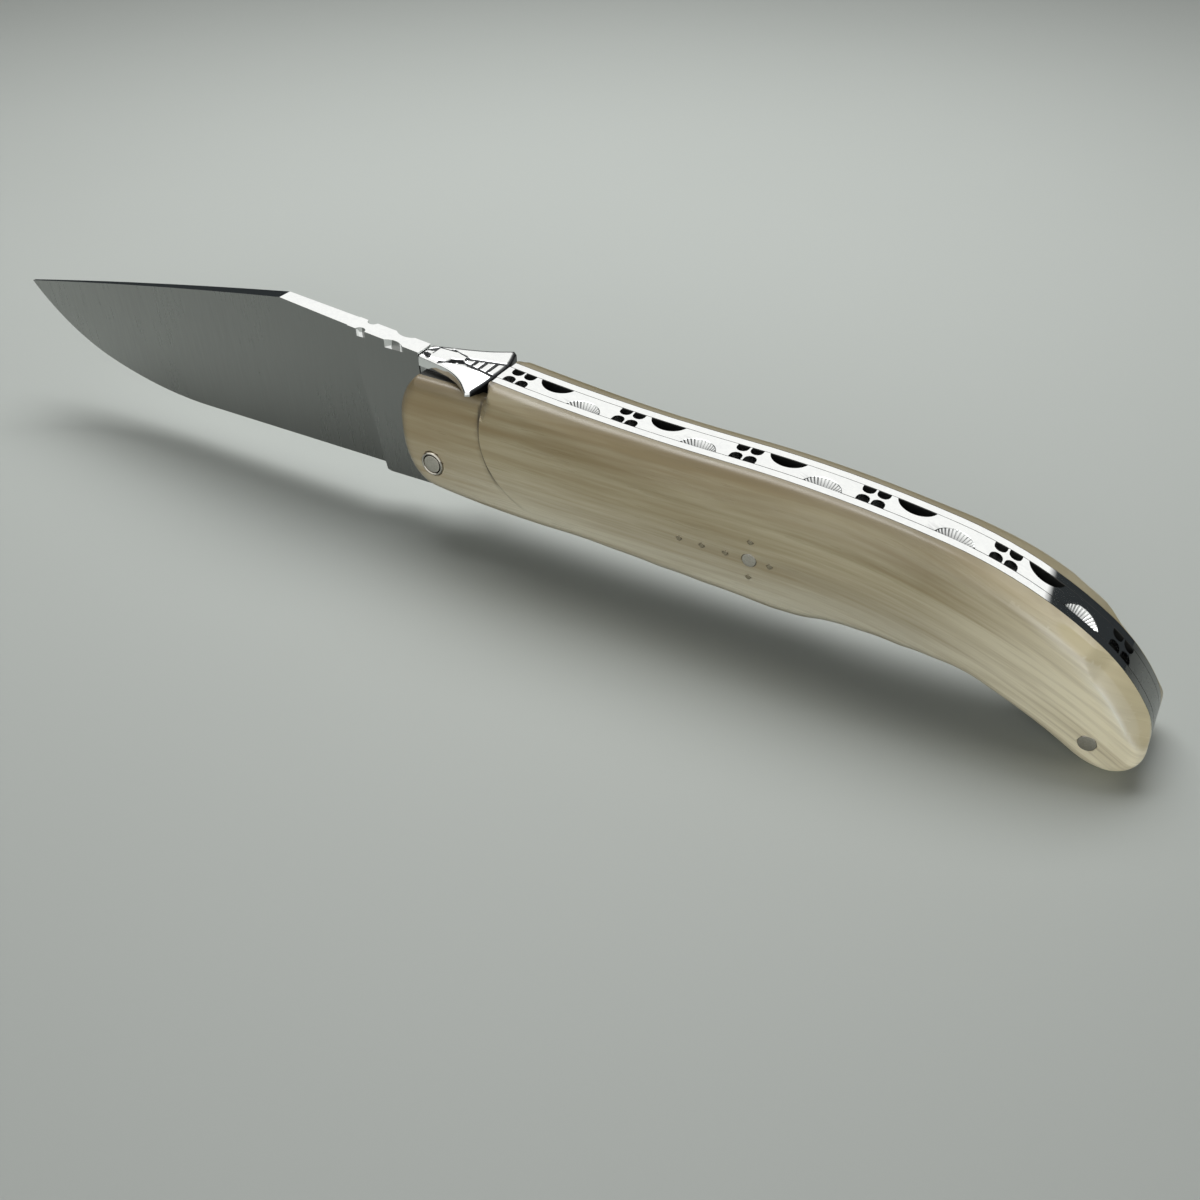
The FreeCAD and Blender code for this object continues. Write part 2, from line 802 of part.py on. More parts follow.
def make_spring(name):
    body = add_body("spring_blank")
    sketch = add_sketch(body, "outline", "XZ_Plane")
    chain = draw_spring(sketch)
    pad(body, sketch, size.spring_width, symmetric=True)
    holes = add_sketch(body, "holes", "XZ_Plane")
    circle(holes, butt_rivet, size.butt_rivet_radius + size.seat_gap)
    circle(holes, spring_pin, size.spring_pin_radius + size.seat_gap)
    pocket(body, holes, symmetric=True)
    cutters = doc.addObject("Part::Feature", "file_work")
    cutters.Shape = file_work(chain)
    spring = doc.addObject("Part::Cut", name)
    spring.Label = name
    spring.Base = body
    spring.Tool = cutters
    return settle(spring)


spring = make_spring("back_spring")

# Fly plate on the nose of the spring: a head, a raised thorax and two drooping wings
fly_top = size.fly_seat_height + size.fly_thickness
wing_waist_shares = (0.34, 0.50)
wing_rear_shares = (1.12, 0.95)
thorax_front_share = 0.60
eye_shares = ((0.90, 0.25), (0.62, 0.45), (0.62, 0.92))
side_line_shares = ((0.33, 0.39), (0.985, 0.92))
ring_shares = (0.48, 0.64, 0.81)
fly_head = -(size.nose_reach + size.fly_overhang)
half_head = size.fly_head_width / 2
half_tail = size.fly_tail_width / 2
half_span = size.wing_span / 2


def draw_fly(sketch):
    """The plate's plan: narrow at the head, flaring to the wing tips, then in to the tail."""
    waist = (size.wing_tip_reach * wing_waist_shares[0], half_span * wing_waist_shares[1])
    tip = (size.wing_tip_reach, half_span)
    rear = (size.wing_tip_reach * wing_rear_shares[0], half_span * wing_rear_shares[1])
    chain = Chain(sketch, (fly_head, half_head))
    chain.line((fly_head, -half_head))
    chain.line((waist[0], -waist[1]))
    chain.bend((tip[0], -tip[1]))
    chain.line((rear[0], -rear[1]))
    chain.line((size.fly_tail_reach, -half_tail))
    chain.line((size.fly_tail_reach, half_tail))
    chain.line(rear)
    chain.line(tip)
    chain.bend_into(waist, chain.start)
    chain.close()


def slope_wings(body):
    """Droop both wings: cut the plate down above them and free its underside over the scales."""
    section = add_sketch(body, "droop", "YZ_Plane")
    far_out = half_span + size.overrun
    fall = size.wing_droop / (half_span - half_head)
    rise = fly_top + size.overrun
    for side in (1, -1):
        polygon(section, [(half_head * side, fly_top),
                          (far_out * side, fly_top - fall * (far_out - half_head)),
                          (far_out * side, rise), (half_head * side, rise)])
    pocket(body, section, symmetric=True)
    under = add_sketch(body, "underside", "YZ_Plane")
    tip_under = fly_top - size.wing_droop - size.wing_thickness
    fall = (size.fly_seat_height - tip_under) / (half_span - liner_face)
    edge = size.fly_seat_height - fall * (far_out - liner_face)
    bottom = edge - size.overrun
    polygon(under, [(-far_out, edge), (-liner_face, size.fly_seat_height),
                    (liner_face, size.fly_seat_height), (far_out, edge),
                    (far_out, bottom), (-far_out, bottom)])
    pocket(body, under, symmetric=True)


def upper_edges(shape, level):
    """The edges above a level between the plate's top and its walls."""
    names = []
    for number, edge in enumerate(shape.Edges, start=1):
        middle = edge.valueAt((edge.FirstParameter + edge.LastParameter) / 2)
        faces = shape.ancestorsOfType(edge, Part.Face)
        looks = sorted(face.normalAt(*face.Surface.parameter(middle)).z for face in faces)
        if middle.z > level.value and abs(looks[0]) < wall_look_share and looks[-1] > face_look_share:
            names.append("Edge%d" % number)
    return names


def engrave(body, name, loops):
    """Cut closed straight-sided loops a little way into the top of the plate."""
    sketch = add_sketch(body, name, "XY_Plane", {"z": fly_top - size.engraving_depth})
    for points in loops:
        polygon(sketch, points)
    pocket(body, sketch, reverse=True)


def engrave_fly(body):
    """Two eyes, the lines beside the abdomen and the rings across it."""
    half_line = size.engraving_width / 2
    eyes = []
    lines = []
    for side in (1, -1):
        eyes.append([(fly_head * share_x, half_head * share_y * side) for share_x, share_y in eye_shares])
        (front_x, front_y), (rear_x, rear_y) = points_of(side_line_shares, size.fly_tail_reach, half_tail)
        lines.append([(front_x, (front_y - half_line) * side), (rear_x, (rear_y - half_line) * side),
                      (rear_x, (rear_y + half_line) * side), (front_x, (front_y + half_line) * side)])
    engrave(body, "eyes", eyes)
    engrave(body, "side_lines", lines)
    rings = []
    slope = (rear_y - front_y) / (rear_x - front_x)
    for share in ring_shares:
        place = size.fly_tail_reach * share
        reach = front_y + slope * (place - front_x)
        rings.append([(place - half_line, -reach), (place + half_line, -reach),
                      (place + half_line, reach), (place - half_line, reach)])
    engrave(body, "rings", rings)


def add_thorax(body):
    """The raised thorax behind the eyes, round at the back."""
    front = fly_head * thorax_front_share
    half = size.thorax_width / 2
    rear = front + size.thorax_length
    sketch = add_sketch(body, "thorax", "XY_Plane", {"z": fly_top})
    chain = Chain(sketch, (front, half))
    chain.line((front, -half))
    chain.line((rear - half, -half))
    chain.arc((rear, nothing), (rear - half, half))
    chain.close()
    pad(body, sketch, size.thorax_rise)
    bevel(body, "thorax_rim", upper_edges(body.Shape, fly_top + size.seat_gap), size.thorax_bevel)


def make_fly(name):
    body = add_body(name)
    sketch = add_sketch(body, "plan", "XY_Plane", {"z": fly_top})
    draw_fly(sketch)
    pad(body, sketch, size.wing_droop + size.wing_thickness, reverse=True)
    slope_wings(body)
    bevel(body, "rim", upper_edges(body.Shape, nothing), size.fly_bevel)
    add_thorax(body)
    engrave_fly(body)
    return settle(body)


fly = make_fly("fly_plate")


# Pins and collars, all across the knife
carved_floor = scale_face - size.carving_depth + size.back_height * tangent(size.carving_angle)
collar_face = carved_floor + size.collar_stand


def bowed_face(place):
    """The height of a scale's bowed face over a place on the handle."""
    rise = place[1] - size.camber_height
    if place[0].value > camber_bend[0].value:
        run = camber_end[0] - camber_bend[0]
        fall = camber_bend[1] - camber_end[1]
        radius = (run * run + fall * fall) / (fall * 2)
        along = place[0] - camber_bend[0]
        across = rise + radius
        rise = root(along * along + across * across) - radius
    return scale_face - camber_drop(rise)


def make_through_pin(name, place, radius, face):
    """A pin right through the knife, ending at the same height on both sides."""
    body = add_body(name)
    sketch = add_sketch(body, "section", "XZ_Plane")
    circle(sketch, place, radius)
    pad(body, sketch, face * 2, symmetric=True)
    return settle(body)


def make_inlaid_pin(name, place, radius, side, draw=circle):
    """A pin through one scale, from its liner to just above its bowed face."""
    body = add_body(name)
    sketch = side_sketch(body, "section", side, liner_face)
    draw(sketch, place, radius)
    pad(body, sketch, bowed_face(place) + size.pin_stand - liner_face, reverse=side < 0)
    return settle(body)


def make_collar(name, side):
    """A bevelled ring round the end of the pivot pin, let into the carved floor of the scale."""
    body = add_body(name)
    sketch = add_sketch(body, "section", "XY_Plane")
    bore = size.pivot_radius + size.seat_gap
    foot = lying(liner_face, side)
    shoulder = lying(collar_face - size.collar_bevel, side)
    top = lying(collar_face, side)
    polygon(sketch, [(bore, foot), (size.collar_radius, foot), (size.collar_radius, shoulder),
                     (size.collar_radius - size.collar_bevel, top), (bore, top)])
    ring = body.newObject("PartDesign::Revolution", "%s_ring" % name)
    ring.Profile = sketch
    ring.ReferenceAxis = (plane_of(body, "Y_Axis"), [""])
    doc.recompute()
    return settle(body)


rivet_face = bowed_face(butt_rivet) + size.pin_stand
pins = [make_through_pin("pivot_pin", pivot, size.pivot_radius, collar_face - size.pin_stand),
        make_collar("near_pivot_collar", 1),
        make_collar("far_pivot_collar", -1),
        make_through_pin("butt_rivet", butt_rivet, size.butt_rivet_radius, rivet_face),
        make_through_pin("spring_pin", spring_pin, size.spring_pin_radius, liner_face),
        make_inlaid_pin("cross_centre_pin", cross_centre, size.cross_centre_radius, 1),
        make_inlaid_pin("far_scale_pin", cross_centre, size.cross_centre_radius, -1)]
for name, place in cross_pins.items():
    pins.append(make_inlaid_pin(name, place, size.cross_pin_radius, 1, small_ring))

# Check every object, then write each piece to its own file
pieces = [blade, spring, fly] + liners + scales + pins
doc.recompute()
for thing in doc.Objects:
    if "Invalid" in thing.State or "Error" in thing.State:
        raise ValueError("%s: %s" % (thing.Label, thing.State))
for piece in pieces:
    if piece.Shape.isNull() or not piece.Shape.isValid() or len(piece.Shape.Solids) != 1:
        raise ValueError("%s is not one sound solid" % piece.Label)
os.makedirs("parts", exist_ok=True)
for piece in pieces:
    piece.Shape.exportStep("parts/%s.step" % piece.Label)
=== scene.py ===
import math
import bmesh
import bpy
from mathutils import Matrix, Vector
from mathutils.geometry import delaunay_2d_cdt
from mathutils.kdtree import KDTree


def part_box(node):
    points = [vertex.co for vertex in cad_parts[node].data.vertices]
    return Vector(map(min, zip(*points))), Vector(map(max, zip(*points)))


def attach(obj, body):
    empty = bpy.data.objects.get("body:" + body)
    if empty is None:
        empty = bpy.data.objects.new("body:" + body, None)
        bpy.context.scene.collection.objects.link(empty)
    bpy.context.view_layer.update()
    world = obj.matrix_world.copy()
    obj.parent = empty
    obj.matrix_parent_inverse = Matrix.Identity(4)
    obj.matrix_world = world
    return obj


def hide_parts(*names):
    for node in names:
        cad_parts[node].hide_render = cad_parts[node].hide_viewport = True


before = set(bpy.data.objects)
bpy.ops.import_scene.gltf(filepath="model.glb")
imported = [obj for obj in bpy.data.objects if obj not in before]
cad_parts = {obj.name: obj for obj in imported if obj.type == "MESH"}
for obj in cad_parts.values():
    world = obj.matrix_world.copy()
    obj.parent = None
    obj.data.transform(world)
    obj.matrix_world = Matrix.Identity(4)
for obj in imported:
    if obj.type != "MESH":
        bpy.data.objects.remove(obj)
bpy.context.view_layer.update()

# Liners: two flat plates of stainless steel that carry the spring, the blade and the scales.
# They are riveted up with the scales and polished with them, so their edges run bright round the back.
mm = 0.001
merge_gap = 0.0005 * mm
flat_angle = math.radians(0.2)
sharp_angle = math.radians(28)


def link(name, mesh):
    """A new object at the origin that shows a mesh."""
    piece = bpy.data.objects.new(name, mesh)
    bpy.context.scene.collection.objects.link(piece)
    return piece


def smooth_shaded(mesh):
    """Shade a mesh smooth, with its sharp edges kept."""
    mesh.shade_smooth()
    mesh.set_sharp_from_angle(angle=sharp_angle)
    return mesh


def merged_copy(node):
    """A CAD node's surface as a new mesh, with its doubles merged and its flat faces made whole."""
    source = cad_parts[node].data
    mesh = bpy.data.meshes.new(node)
    mesh.from_pydata([vertex.co for vertex in source.vertices], [],
                     [list(polygon.vertices) for polygon in source.polygons])
    work = bmesh.new()
    work.from_mesh(mesh)
    bmesh.ops.remove_doubles(work, verts=work.verts, dist=merge_gap)
    bmesh.ops.dissolve_degenerate(work, edges=work.edges, dist=merge_gap)
    bmesh.ops.dissolve_limit(work, angle_limit=flat_angle, verts=work.verts, edges=work.edges)
    work.to_mesh(mesh)
    work.free()
    return smooth_shaded(mesh)


def ease_edges(piece, width, material=-1):
    """Break a piece's sharp edges with a narrow round, as hand polishing does, in a material of its own."""
    bevel = piece.modifiers.new("eased_edges", "BEVEL")
    bevel.width = width
    bevel.segments = 2
    bevel.limit_method = "ANGLE"
    bevel.angle_limit = sharp_angle
    bevel.harden_normals = True
    bevel.material = material


def shader_group(name, inputs, outputs):
    """An empty shader node group with named sockets, and its two end nodes."""
    group = bpy.data.node_groups.new(name, "ShaderNodeTree")
    for label, kind in inputs:
        group.interface.new_socket(label, in_out="INPUT", socket_type=kind)
    for label, kind in outputs:
        group.interface.new_socket(label, in_out="OUTPUT", socket_type=kind)
    return group, group.nodes.new("NodeGroupInput"), group.nodes.new("NodeGroupOutput")


def feed(tree, socket, value):
    """Join another socket to an input, or set the input's own value."""
    if isinstance(value, bpy.types.NodeSocket):
        tree.links.new(value, socket)
    else:
        socket.default_value = value


def add_node(tree, kind, **values):
    """A new node with its inputs fed, by the socket's name with spaces as underscores, or by its number."""
    node = tree.nodes.new(kind)
    for label, value in values.items():
        key = int(label[1:]) if label[1:].isdigit() else label.replace("_", " ")
        feed(tree, node.inputs[key], value)
    return node


def maths(tree, operation, first, second, third=0.0):
    """The result of one sum on values."""
    node = add_node(tree, "ShaderNodeMath", _0=first, _1=second, _2=third)
    node.operation = operation
    return node.outputs["Value"]


def object_place(tree):
    """The three parts of a point's place in its object, in metres."""
    place = tree.nodes.new("ShaderNodeTexCoord")
    return add_node(tree, "ShaderNodeSeparateXYZ", Vector=place.outputs["Object"]).outputs


def make_streaks():
    """Fine lines drawn out along one direction of the object, which may bend down past a place along it."""
    group, ends_in, ends_out = shader_group("drawn_streaks", [("Stretch", "NodeSocketVector"),
                                                              ("Detail", "NodeSocketFloat"),
                                                              ("Bend", "NodeSocketFloat"),
                                                              ("Bend Start", "NodeSocketFloat")],
                                            [("Streaks", "NodeSocketFloat")])
    given = ends_in.outputs
    place = object_place(group)
    past = maths(group, "SUBTRACT", place["X"], given["Bend Start"])
    held = maths(group, "MAXIMUM", past, 0.0)
    squared = maths(group, "MULTIPLY", held, held)
    raised = maths(group, "MULTIPLY_ADD", squared, given["Bend"], place["Z"])
    bent = add_node(group, "ShaderNodeCombineXYZ", X=place["X"], Y=place["Y"], Z=raised)
    drawn = add_node(group, "ShaderNodeVectorMath", _0=bent.outputs["Vector"], _1=given["Stretch"])
    drawn.operation = "MULTIPLY"
    noise = add_node(group, "ShaderNodeTexNoise", Vector=drawn.outputs["Vector"],
                     Detail=given["Detail"], Scale=1.0, Roughness=0.6)
    group.links.new(noise.outputs["Fac"], ends_out.inputs["Streaks"])
    return group


def make_handling():
    """Soft smudges from fingers and thin cloth marks left by polishing."""
    group, ends_in, ends_out = shader_group("handling_marks", [("Smudge Size", "NodeSocketFloat"),
                                                               ("Mark Size", "NodeSocketFloat")],
                                            [("Smudge", "NodeSocketFloat"), ("Marks", "NodeSocketFloat")])
    place = group.nodes.new("ShaderNodeTexCoord")
    smudge = add_node(group, "ShaderNodeTexNoise", Vector=place.outputs["Object"],
                      Scale=ends_in.outputs["Smudge Size"], Detail=3.0)
    marks = add_node(group, "ShaderNodeTexNoise", Vector=place.outputs["Object"],
                     Scale=ends_in.outputs["Mark Size"], Detail=8.0, Distortion=1.5)
    group.links.new(smudge.outputs["Fac"], ends_out.inputs["Smudge"])
    group.links.new(marks.outputs["Fac"], ends_out.inputs["Marks"])
    return group


streaks_group = make_streaks()
handling_group = make_handling()


def use_group(tree, group, **values):
    """The outputs of a shader group that is placed in a material with its own values."""
    node = tree.nodes.new("ShaderNodeGroup")
    node.node_tree = group
    for label, value in values.items():
        node.inputs[label.replace("_", " ")].default_value = value
    return node.outputs


def spread(tree, value, low, high, to_low=0.0, to_high=1.0):
    """A value spread from one range to another, held at its ends."""
    node = add_node(tree, "ShaderNodeMapRange", Value=value, From_Min=low, From_Max=high,
                    To_Min=to_low, To_Max=to_high)
    return node.outputs["Result"]


def mixed(tree, share, first, second):
    """Two colours mixed by a share."""
    node = tree.nodes.new("ShaderNodeMix")
    node.data_type = "RGBA"
    for number, value in ((0, share), (6, first), (7, second)):
        feed(tree, node.inputs[number], value)
    return node.outputs[2]


def colour(red, green, blue):
    """An opaque colour."""
    return (red, green, blue, 1.0)


def marked(tree, name):
    """The share that a mesh stores for each of its points under a name."""
    node = tree.nodes.new("ShaderNodeAttribute")
    node.attribute_name = name
    return node.outputs["Fac"]


def new_material(name, metal_share=0.0):
    """A new material, its node tree and its shader."""
    material = bpy.data.materials.new(name)
    material.use_nodes = True
    shader = material.node_tree.nodes["Principled BSDF"]
    shader.inputs["Metallic"].default_value = metal_share
    return material, material.node_tree, shader


def coat(tree, shader, face, roughness):
    """Give a material its colour and its roughness."""
    feed(tree, shader.inputs["Base Color"], face)
    feed(tree, shader.inputs["Roughness"], roughness)


def add_relief(tree, shader, height, strength, depth):
    """Raise and sink a material's surface by a value."""
    relief = add_node(tree, "ShaderNodeBump", Height=height, Strength=strength, Distance=depth)
    tree.links.new(relief.outputs["Normal"], shader.inputs["Normal"])


finish_depth = 0.01 * mm


def polished_steel():
    """Bright steel off the buffing wheel, darkened by a stored share: dark oxide in the graver lines and
    the filework, and painted shade in the filework's moons and along the fly's far and rear rim.
    """
    material, tree, shader = new_material("polished_steel", 1.0)
    handling = use_group(tree, handling_group, Smudge_Size=90.0, Mark_Size=900.0)
    # The stored share paints the steel near black: partly dark oxide, partly painted shade.
    polish_and_shade_share = spread(tree, marked(tree, "dark_polish_and_shade"), 0.1, 0.9)
    bright = mixed(tree, spread(tree, handling["Marks"], 0.35, 0.7),
                   colour(0.84, 0.85, 0.84), colour(0.79, 0.80, 0.80))
    face = mixed(tree, polish_and_shade_share, bright, colour(0.018, 0.019, 0.020))
    gloss = spread(tree, handling["Smudge"], 0.4, 0.75, 0.02, 0.06)
    dull = maths(tree, "ADD", gloss, spread(tree, polish_and_shade_share, 0.0, 1.0, 0.0, 0.35))
    coat(tree, shader, face, dull)
    add_relief(tree, shader, handling["Marks"], 0.006, finish_depth)
    return material


def oily_and_shaded_steel():
    """Dark steel for the liners' eased edges, inner faces and seat under the fly: oil and polish that
    nobody wipes off, and painted shade between the parts and under the fly.
    """
    material, tree, shader = new_material("oily_and_shaded_steel", 1.0)
    handling = use_group(tree, handling_group, Smudge_Size=160.0, Mark_Size=1500.0)
    darkening = mixed(tree, handling["Smudge"],
                  colour(0.020, 0.021, 0.020), colour(0.060, 0.060, 0.057))
    dull = spread(tree, handling["Marks"], 0.3, 0.7, 0.38, 0.55)
    coat(tree, shader, darkening, dull)
    return material


satin_stretch = (2600.0, 900.0, 160.0)
tip_place, heel_place = -104.0 * mm, -12.0 * mm


def satin_steel():
    """Steel with fine belt lines down the blade, with painted shade that darkens it towards its heel."""
    material, tree, shader = new_material("satin_steel", 1.0)
    lines = use_group(tree, streaks_group, Stretch=satin_stretch, Detail=6.0)
    handling = use_group(tree, handling_group, Smudge_Size=45.0, Mark_Size=1200.0)
    face = mixed(tree, spread(tree, lines["Streaks"], 0.3, 0.7),
                 colour(0.33, 0.337, 0.326), colour(0.37, 0.378, 0.366))
    # Painted shade: the blade's colour darkens from the tip towards the heel.
    heel = spread(tree, object_place(tree)["X"], tip_place, heel_place, 0.0, 0.85)
    heel_shaded = mixed(tree, heel, face, colour(0.235, 0.240, 0.232))
    grain = spread(tree, lines["Streaks"], 0.3, 0.7, 0.265, 0.295)
    worn = maths(tree, "ADD", grain, spread(tree, handling["Smudge"], 0.45, 0.75, 0.0, 0.05))
    coat(tree, shader, heel_shaded, worn)
    add_relief(tree, shader, lines["Streaks"], 0.008, finish_depth)
    return material


bright_steel = polished_steel()
seam_and_shade_steel = oily_and_shaded_steel()
brushed_steel = satin_steel()
liner_ease = 0.12 * mm
seat_reach = 2.9 * mm
side_look = 0.9
butt_look = 0.4
butt_start = 100.6 * mm
belly_line = 12.0 * mm
belly_places = (20.0, 27.0, 34.0, 41.5, 48.0, 54.5, 60.0, 66.0, 72.0, 78.0, 81.0)
belly_swells = (0.0, 1.0, 2.1, 2.4, 2.0, 1.4, 1.55, 2.25, 2.3, 1.0, 0.0)


def swell_belly(mesh):
    """Let a plate's lower edge out to the fuller belly that the finished handle has."""
    spans = list(zip(zip(belly_places, belly_swells), zip(belly_places[1:], belly_swells[1:])))
    for vertex in mesh.vertices:
        x = vertex.co.x / mm
        for (start, first), (end, second) in spans:
            if vertex.co.z < belly_line and start <= x < end:
                vertex.co.z -= (first + (second - first) * (x - start) / (end - start)) * mm
                break


liners = {}
for node, side in (("near_liner", -1), ("far_liner", 1)):
    liners[node] = link(node + "_plate", merged_copy(node))
    swell_belly(liners[node].data)
    for material in (bright_steel, seam_and_shade_steel, brushed_steel):
        liners[node].data.materials.append(material)
    # Painted shade: the liners' inner faces and their seat under the fly take the dark steel; their eased
    # edges take it as dark seams.
    for polygon in liners[node].data.polygons:
        inner = polygon.normal.y * side < -side_look
        seat = polygon.center.x < seat_reach and polygon.normal.z > side_look
        butt = polygon.center.x > butt_start and polygon.normal.x > butt_look
        polygon.material_index = 2 if butt else int(inner or seat)
    ease_edges(liners[node], liner_ease, 1)
    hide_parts(node)
    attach(liners[node], "handle")

# Handle outline: the liners' edge, which the spring and the scales are filed flush with.
# It is read from the near liner, smoothed through its points and kept sharp at its corners.
outline_step = 0.35
outline_splits = 6
corner_angle = math.radians(25)


def rim_loop(mesh):
    """The longest line of edges round a liner's outer face, as points in the side plane in millimetres."""
    work = bmesh.new()
    work.from_mesh(mesh)
    work.normal_update()
    beside = {}
    for edge in work.edges:
        if sum(face.normal.y < -side_look for face in edge.link_faces) == 1:
            first, second = edge.verts
            beside.setdefault(first, []).append(second)
            beside.setdefault(second, []).append(first)
    loops = []
    left = dict.fromkeys(beside)
    while left:
        loop = [next(iter(left))]
        left.pop(loop[0])
        ahead = beside[loop[0]][0]
        while ahead is not loop[0]:
            left.pop(ahead)
            loop.append(ahead)
            first, second = beside[ahead]
            ahead = second if first is loop[-2] else first
        loops.append([Vector((vertex.co.x, vertex.co.z)) / mm for vertex in loop])
    work.free()
    return max(loops, key=len)


def turn_at(points, index):
    """How sharply a closed line of points turns at one of them."""
    into = points[index] - points[index - 1]
    away = points[(index + 1) % len(points)] - points[index]
    return into.angle(away)


def through(run, step):
    """Evenly spaced points on a smooth line through a run of points, without its last one."""
    smooth = []
    for index in range(len(run) - 1):
        first, second = run[index], run[index + 1]
        before = run[index - 1] if index else first * 2 - second
        after = run[index + 2] if index + 2 < len(run) else second * 2 - first
        pieces = max(1, round((second - first).length / step))
        for piece in range(pieces):
            share = piece / pieces
            smooth.append(0.5 * (2 * first + (second - before) * share
                                 + (2 * before - 5 * first + 4 * second - after) * share ** 2
                                 + (3 * first - before - 3 * second + after) * share ** 3))
    return smooth


def smooth_loop(points, corner, step):
    """A closed line through points, smooth between the corners that turn more than an angle."""
    corners = [index for index in range(len(points)) if turn_at(points, index) > corner]
    points = points[corners[0]:] + points[:corners[0]]
    corners = [index - corners[0] for index in corners] + [len(points)]
    points = points + points[:1]
    loop = []
    for start, end in zip(corners, corners[1:]):
        loop += through(points[start:end + 1], step)
    return loop


def smooth_outline(points):
    """A closed line from the tail of the fly along the back, smooth between its corners."""
    corners = [index for index in range(len(points)) if turn_at(points, index) > corner_angle]
    top = max(corners, key=lambda index: points[index].y)
    points = points[top:] + points[:top]
    if points[1].x < points[-1].x:
        points = points[:1] + points[:0:-1]
    return smooth_loop(points, corner_angle, outline_step)


outline = smooth_outline(rim_loop(liners["near_liner"].data))
ways = [0.0]
for first, second in zip(outline, outline[1:]):
    ways.append(ways[-1] + (second - first).length)


def along_outline(way):
    """The place and the direction of the outline a given way from the tail of the fly."""
    index = next(index for index, reached in enumerate(ways) if reached > way)
    first, second = outline[index - 1], outline[index]
    lead = (second - first).normalized()
    return first + lead * (way - ways[index - 1]), lead


def gap_finder(loop):
    """A function that gives a point's gap to a closed line, the nearest place there and its number."""
    tree = KDTree(len(loop) * outline_splits)
    for index, first in enumerate(loop):
        second = loop[(index + 1) % len(loop)]
        for split in range(outline_splits):
            spot = first.lerp(second, split / outline_splits)
            tree.insert((spot.x, spot.y, 0), index)
    tree.balance()

    def gap_to(x, y):
        spot, index, gap = tree.find((x, y, 0))
        return gap, spot.to_2d(), index
    return gap_to


edge_gap = gap_finder(outline)

# Back spring: one bar of hardened steel along the back, held by the butt rivet and its own pin.
# Its back is filed into pairs of notches and half moons; the near moons keep ribs from the round file.
spring_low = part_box("back_spring")[0]
file_pitch = 19.2
moon_unit_share = 0.80
moon_count = 5
moon_radius = 2.95
moon_bite = 2.25
moon_depth = 2.0
moon_middle = spring_low.y / mm - moon_radius + moon_bite
near_moons = [along_outline(file_pitch * (unit + moon_unit_share)) for unit in range(moon_count)]
# Painted shade in the near moons: shares of darkening by depth, towards their front, on the ribs' flanks
# and in their corners.
moon_shade_share = 0.85
rib_flank_shade_share = 0.8
moon_front_shade_share = 0.6
moon_corner_shade_share = 0.7
corner_depth = 0.15
rib_count = 13
rib_radius = 0.28
rib_lean = math.radians(40)
rib_spread = math.radians(66)
rib_sides = 16


def make_rods():
    """Geometry nodes that stand a round rod on every point, along the point's own lead."""
    tree = bpy.data.node_groups.new("rods_on_points", "GeometryNodeTree")
    for label, kind in (("Points", "NodeSocketGeometry"), ("Radius", "NodeSocketFloat"),
                        ("Length", "NodeSocketFloat"), ("Sides", "NodeSocketInt"),
                        ("Material", "NodeSocketMaterial")):
        tree.interface.new_socket(label, in_out="INPUT", socket_type=kind)
    tree.interface.new_socket("Rods", in_out="OUTPUT", socket_type="NodeSocketGeometry")
    given = tree.nodes.new("NodeGroupInput").outputs
    rod = add_node(tree, "GeometryNodeMeshCylinder", Vertices=given["Sides"], Radius=given["Radius"],
                   Depth=given["Length"])
    below = add_node(tree, "ShaderNodeCombineXYZ", Z=maths(tree, "MULTIPLY", given["Length"], -0.5))
    lowered = add_node(tree, "GeometryNodeTransform", Geometry=rod.outputs["Mesh"],
                       Translation=below.outputs["Vector"])
    lead = add_node(tree, "GeometryNodeInputNamedAttribute", Name="lead")
    lead.data_type = "FLOAT_VECTOR"
    turned_rod = tree.nodes.new("FunctionNodeAlignRotationToVector")
    turned_rod.axis = "Z"
    tree.links.new(lead.outputs["Attribute"], turned_rod.inputs["Vector"])
    placed = add_node(tree, "GeometryNodeInstanceOnPoints", Points=given["Points"],
                      Instance=lowered.outputs["Geometry"], Rotation=turned_rod.outputs["Rotation"])
    real = add_node(tree, "GeometryNodeRealizeInstances", Geometry=placed.outputs["Instances"])
    painted = add_node(tree, "GeometryNodeSetMaterial", Geometry=real.outputs["Geometry"],
                       Material=given["Material"])
    ends_out = tree.nodes.new("NodeGroupOutput")
    tree.links.new(painted.outputs["Geometry"], ends_out.inputs["Rods"])
    return tree


rods_tree = make_rods()


def evaluated_mesh(piece):
    """A piece's mesh with its modifiers applied."""
    graph = bpy.context.evaluated_depsgraph_get()
    return bpy.data.meshes.new_from_object(piece.evaluated_get(graph))


def rods_on(name, places, leads, radius, length, sides, material):
    """Rods that end at the given places, as one plain mesh object."""
    points = bpy.data.meshes.new(name)
    points.from_pydata(places, [], [])
    lead = points.attributes.new("lead", "FLOAT_VECTOR", "POINT")
    for index, direction in enumerate(leads):
        lead.data[index].vector = direction
    carrier = link(name, points)
    modifier = carrier.modifiers.new("rods", "NODES")
    modifier.node_group = rods_tree
    settings = {"Radius": radius, "Length": length, "Sides": sides, "Material": material}
    for socket in rods_tree.interface.items_tree:
        if socket.name in settings:
            modifier[socket.identifier] = settings[socket.name]
    mesh = evaluated_mesh(carrier)
    bpy.data.objects.remove(carrier)
    return link(name, mesh)


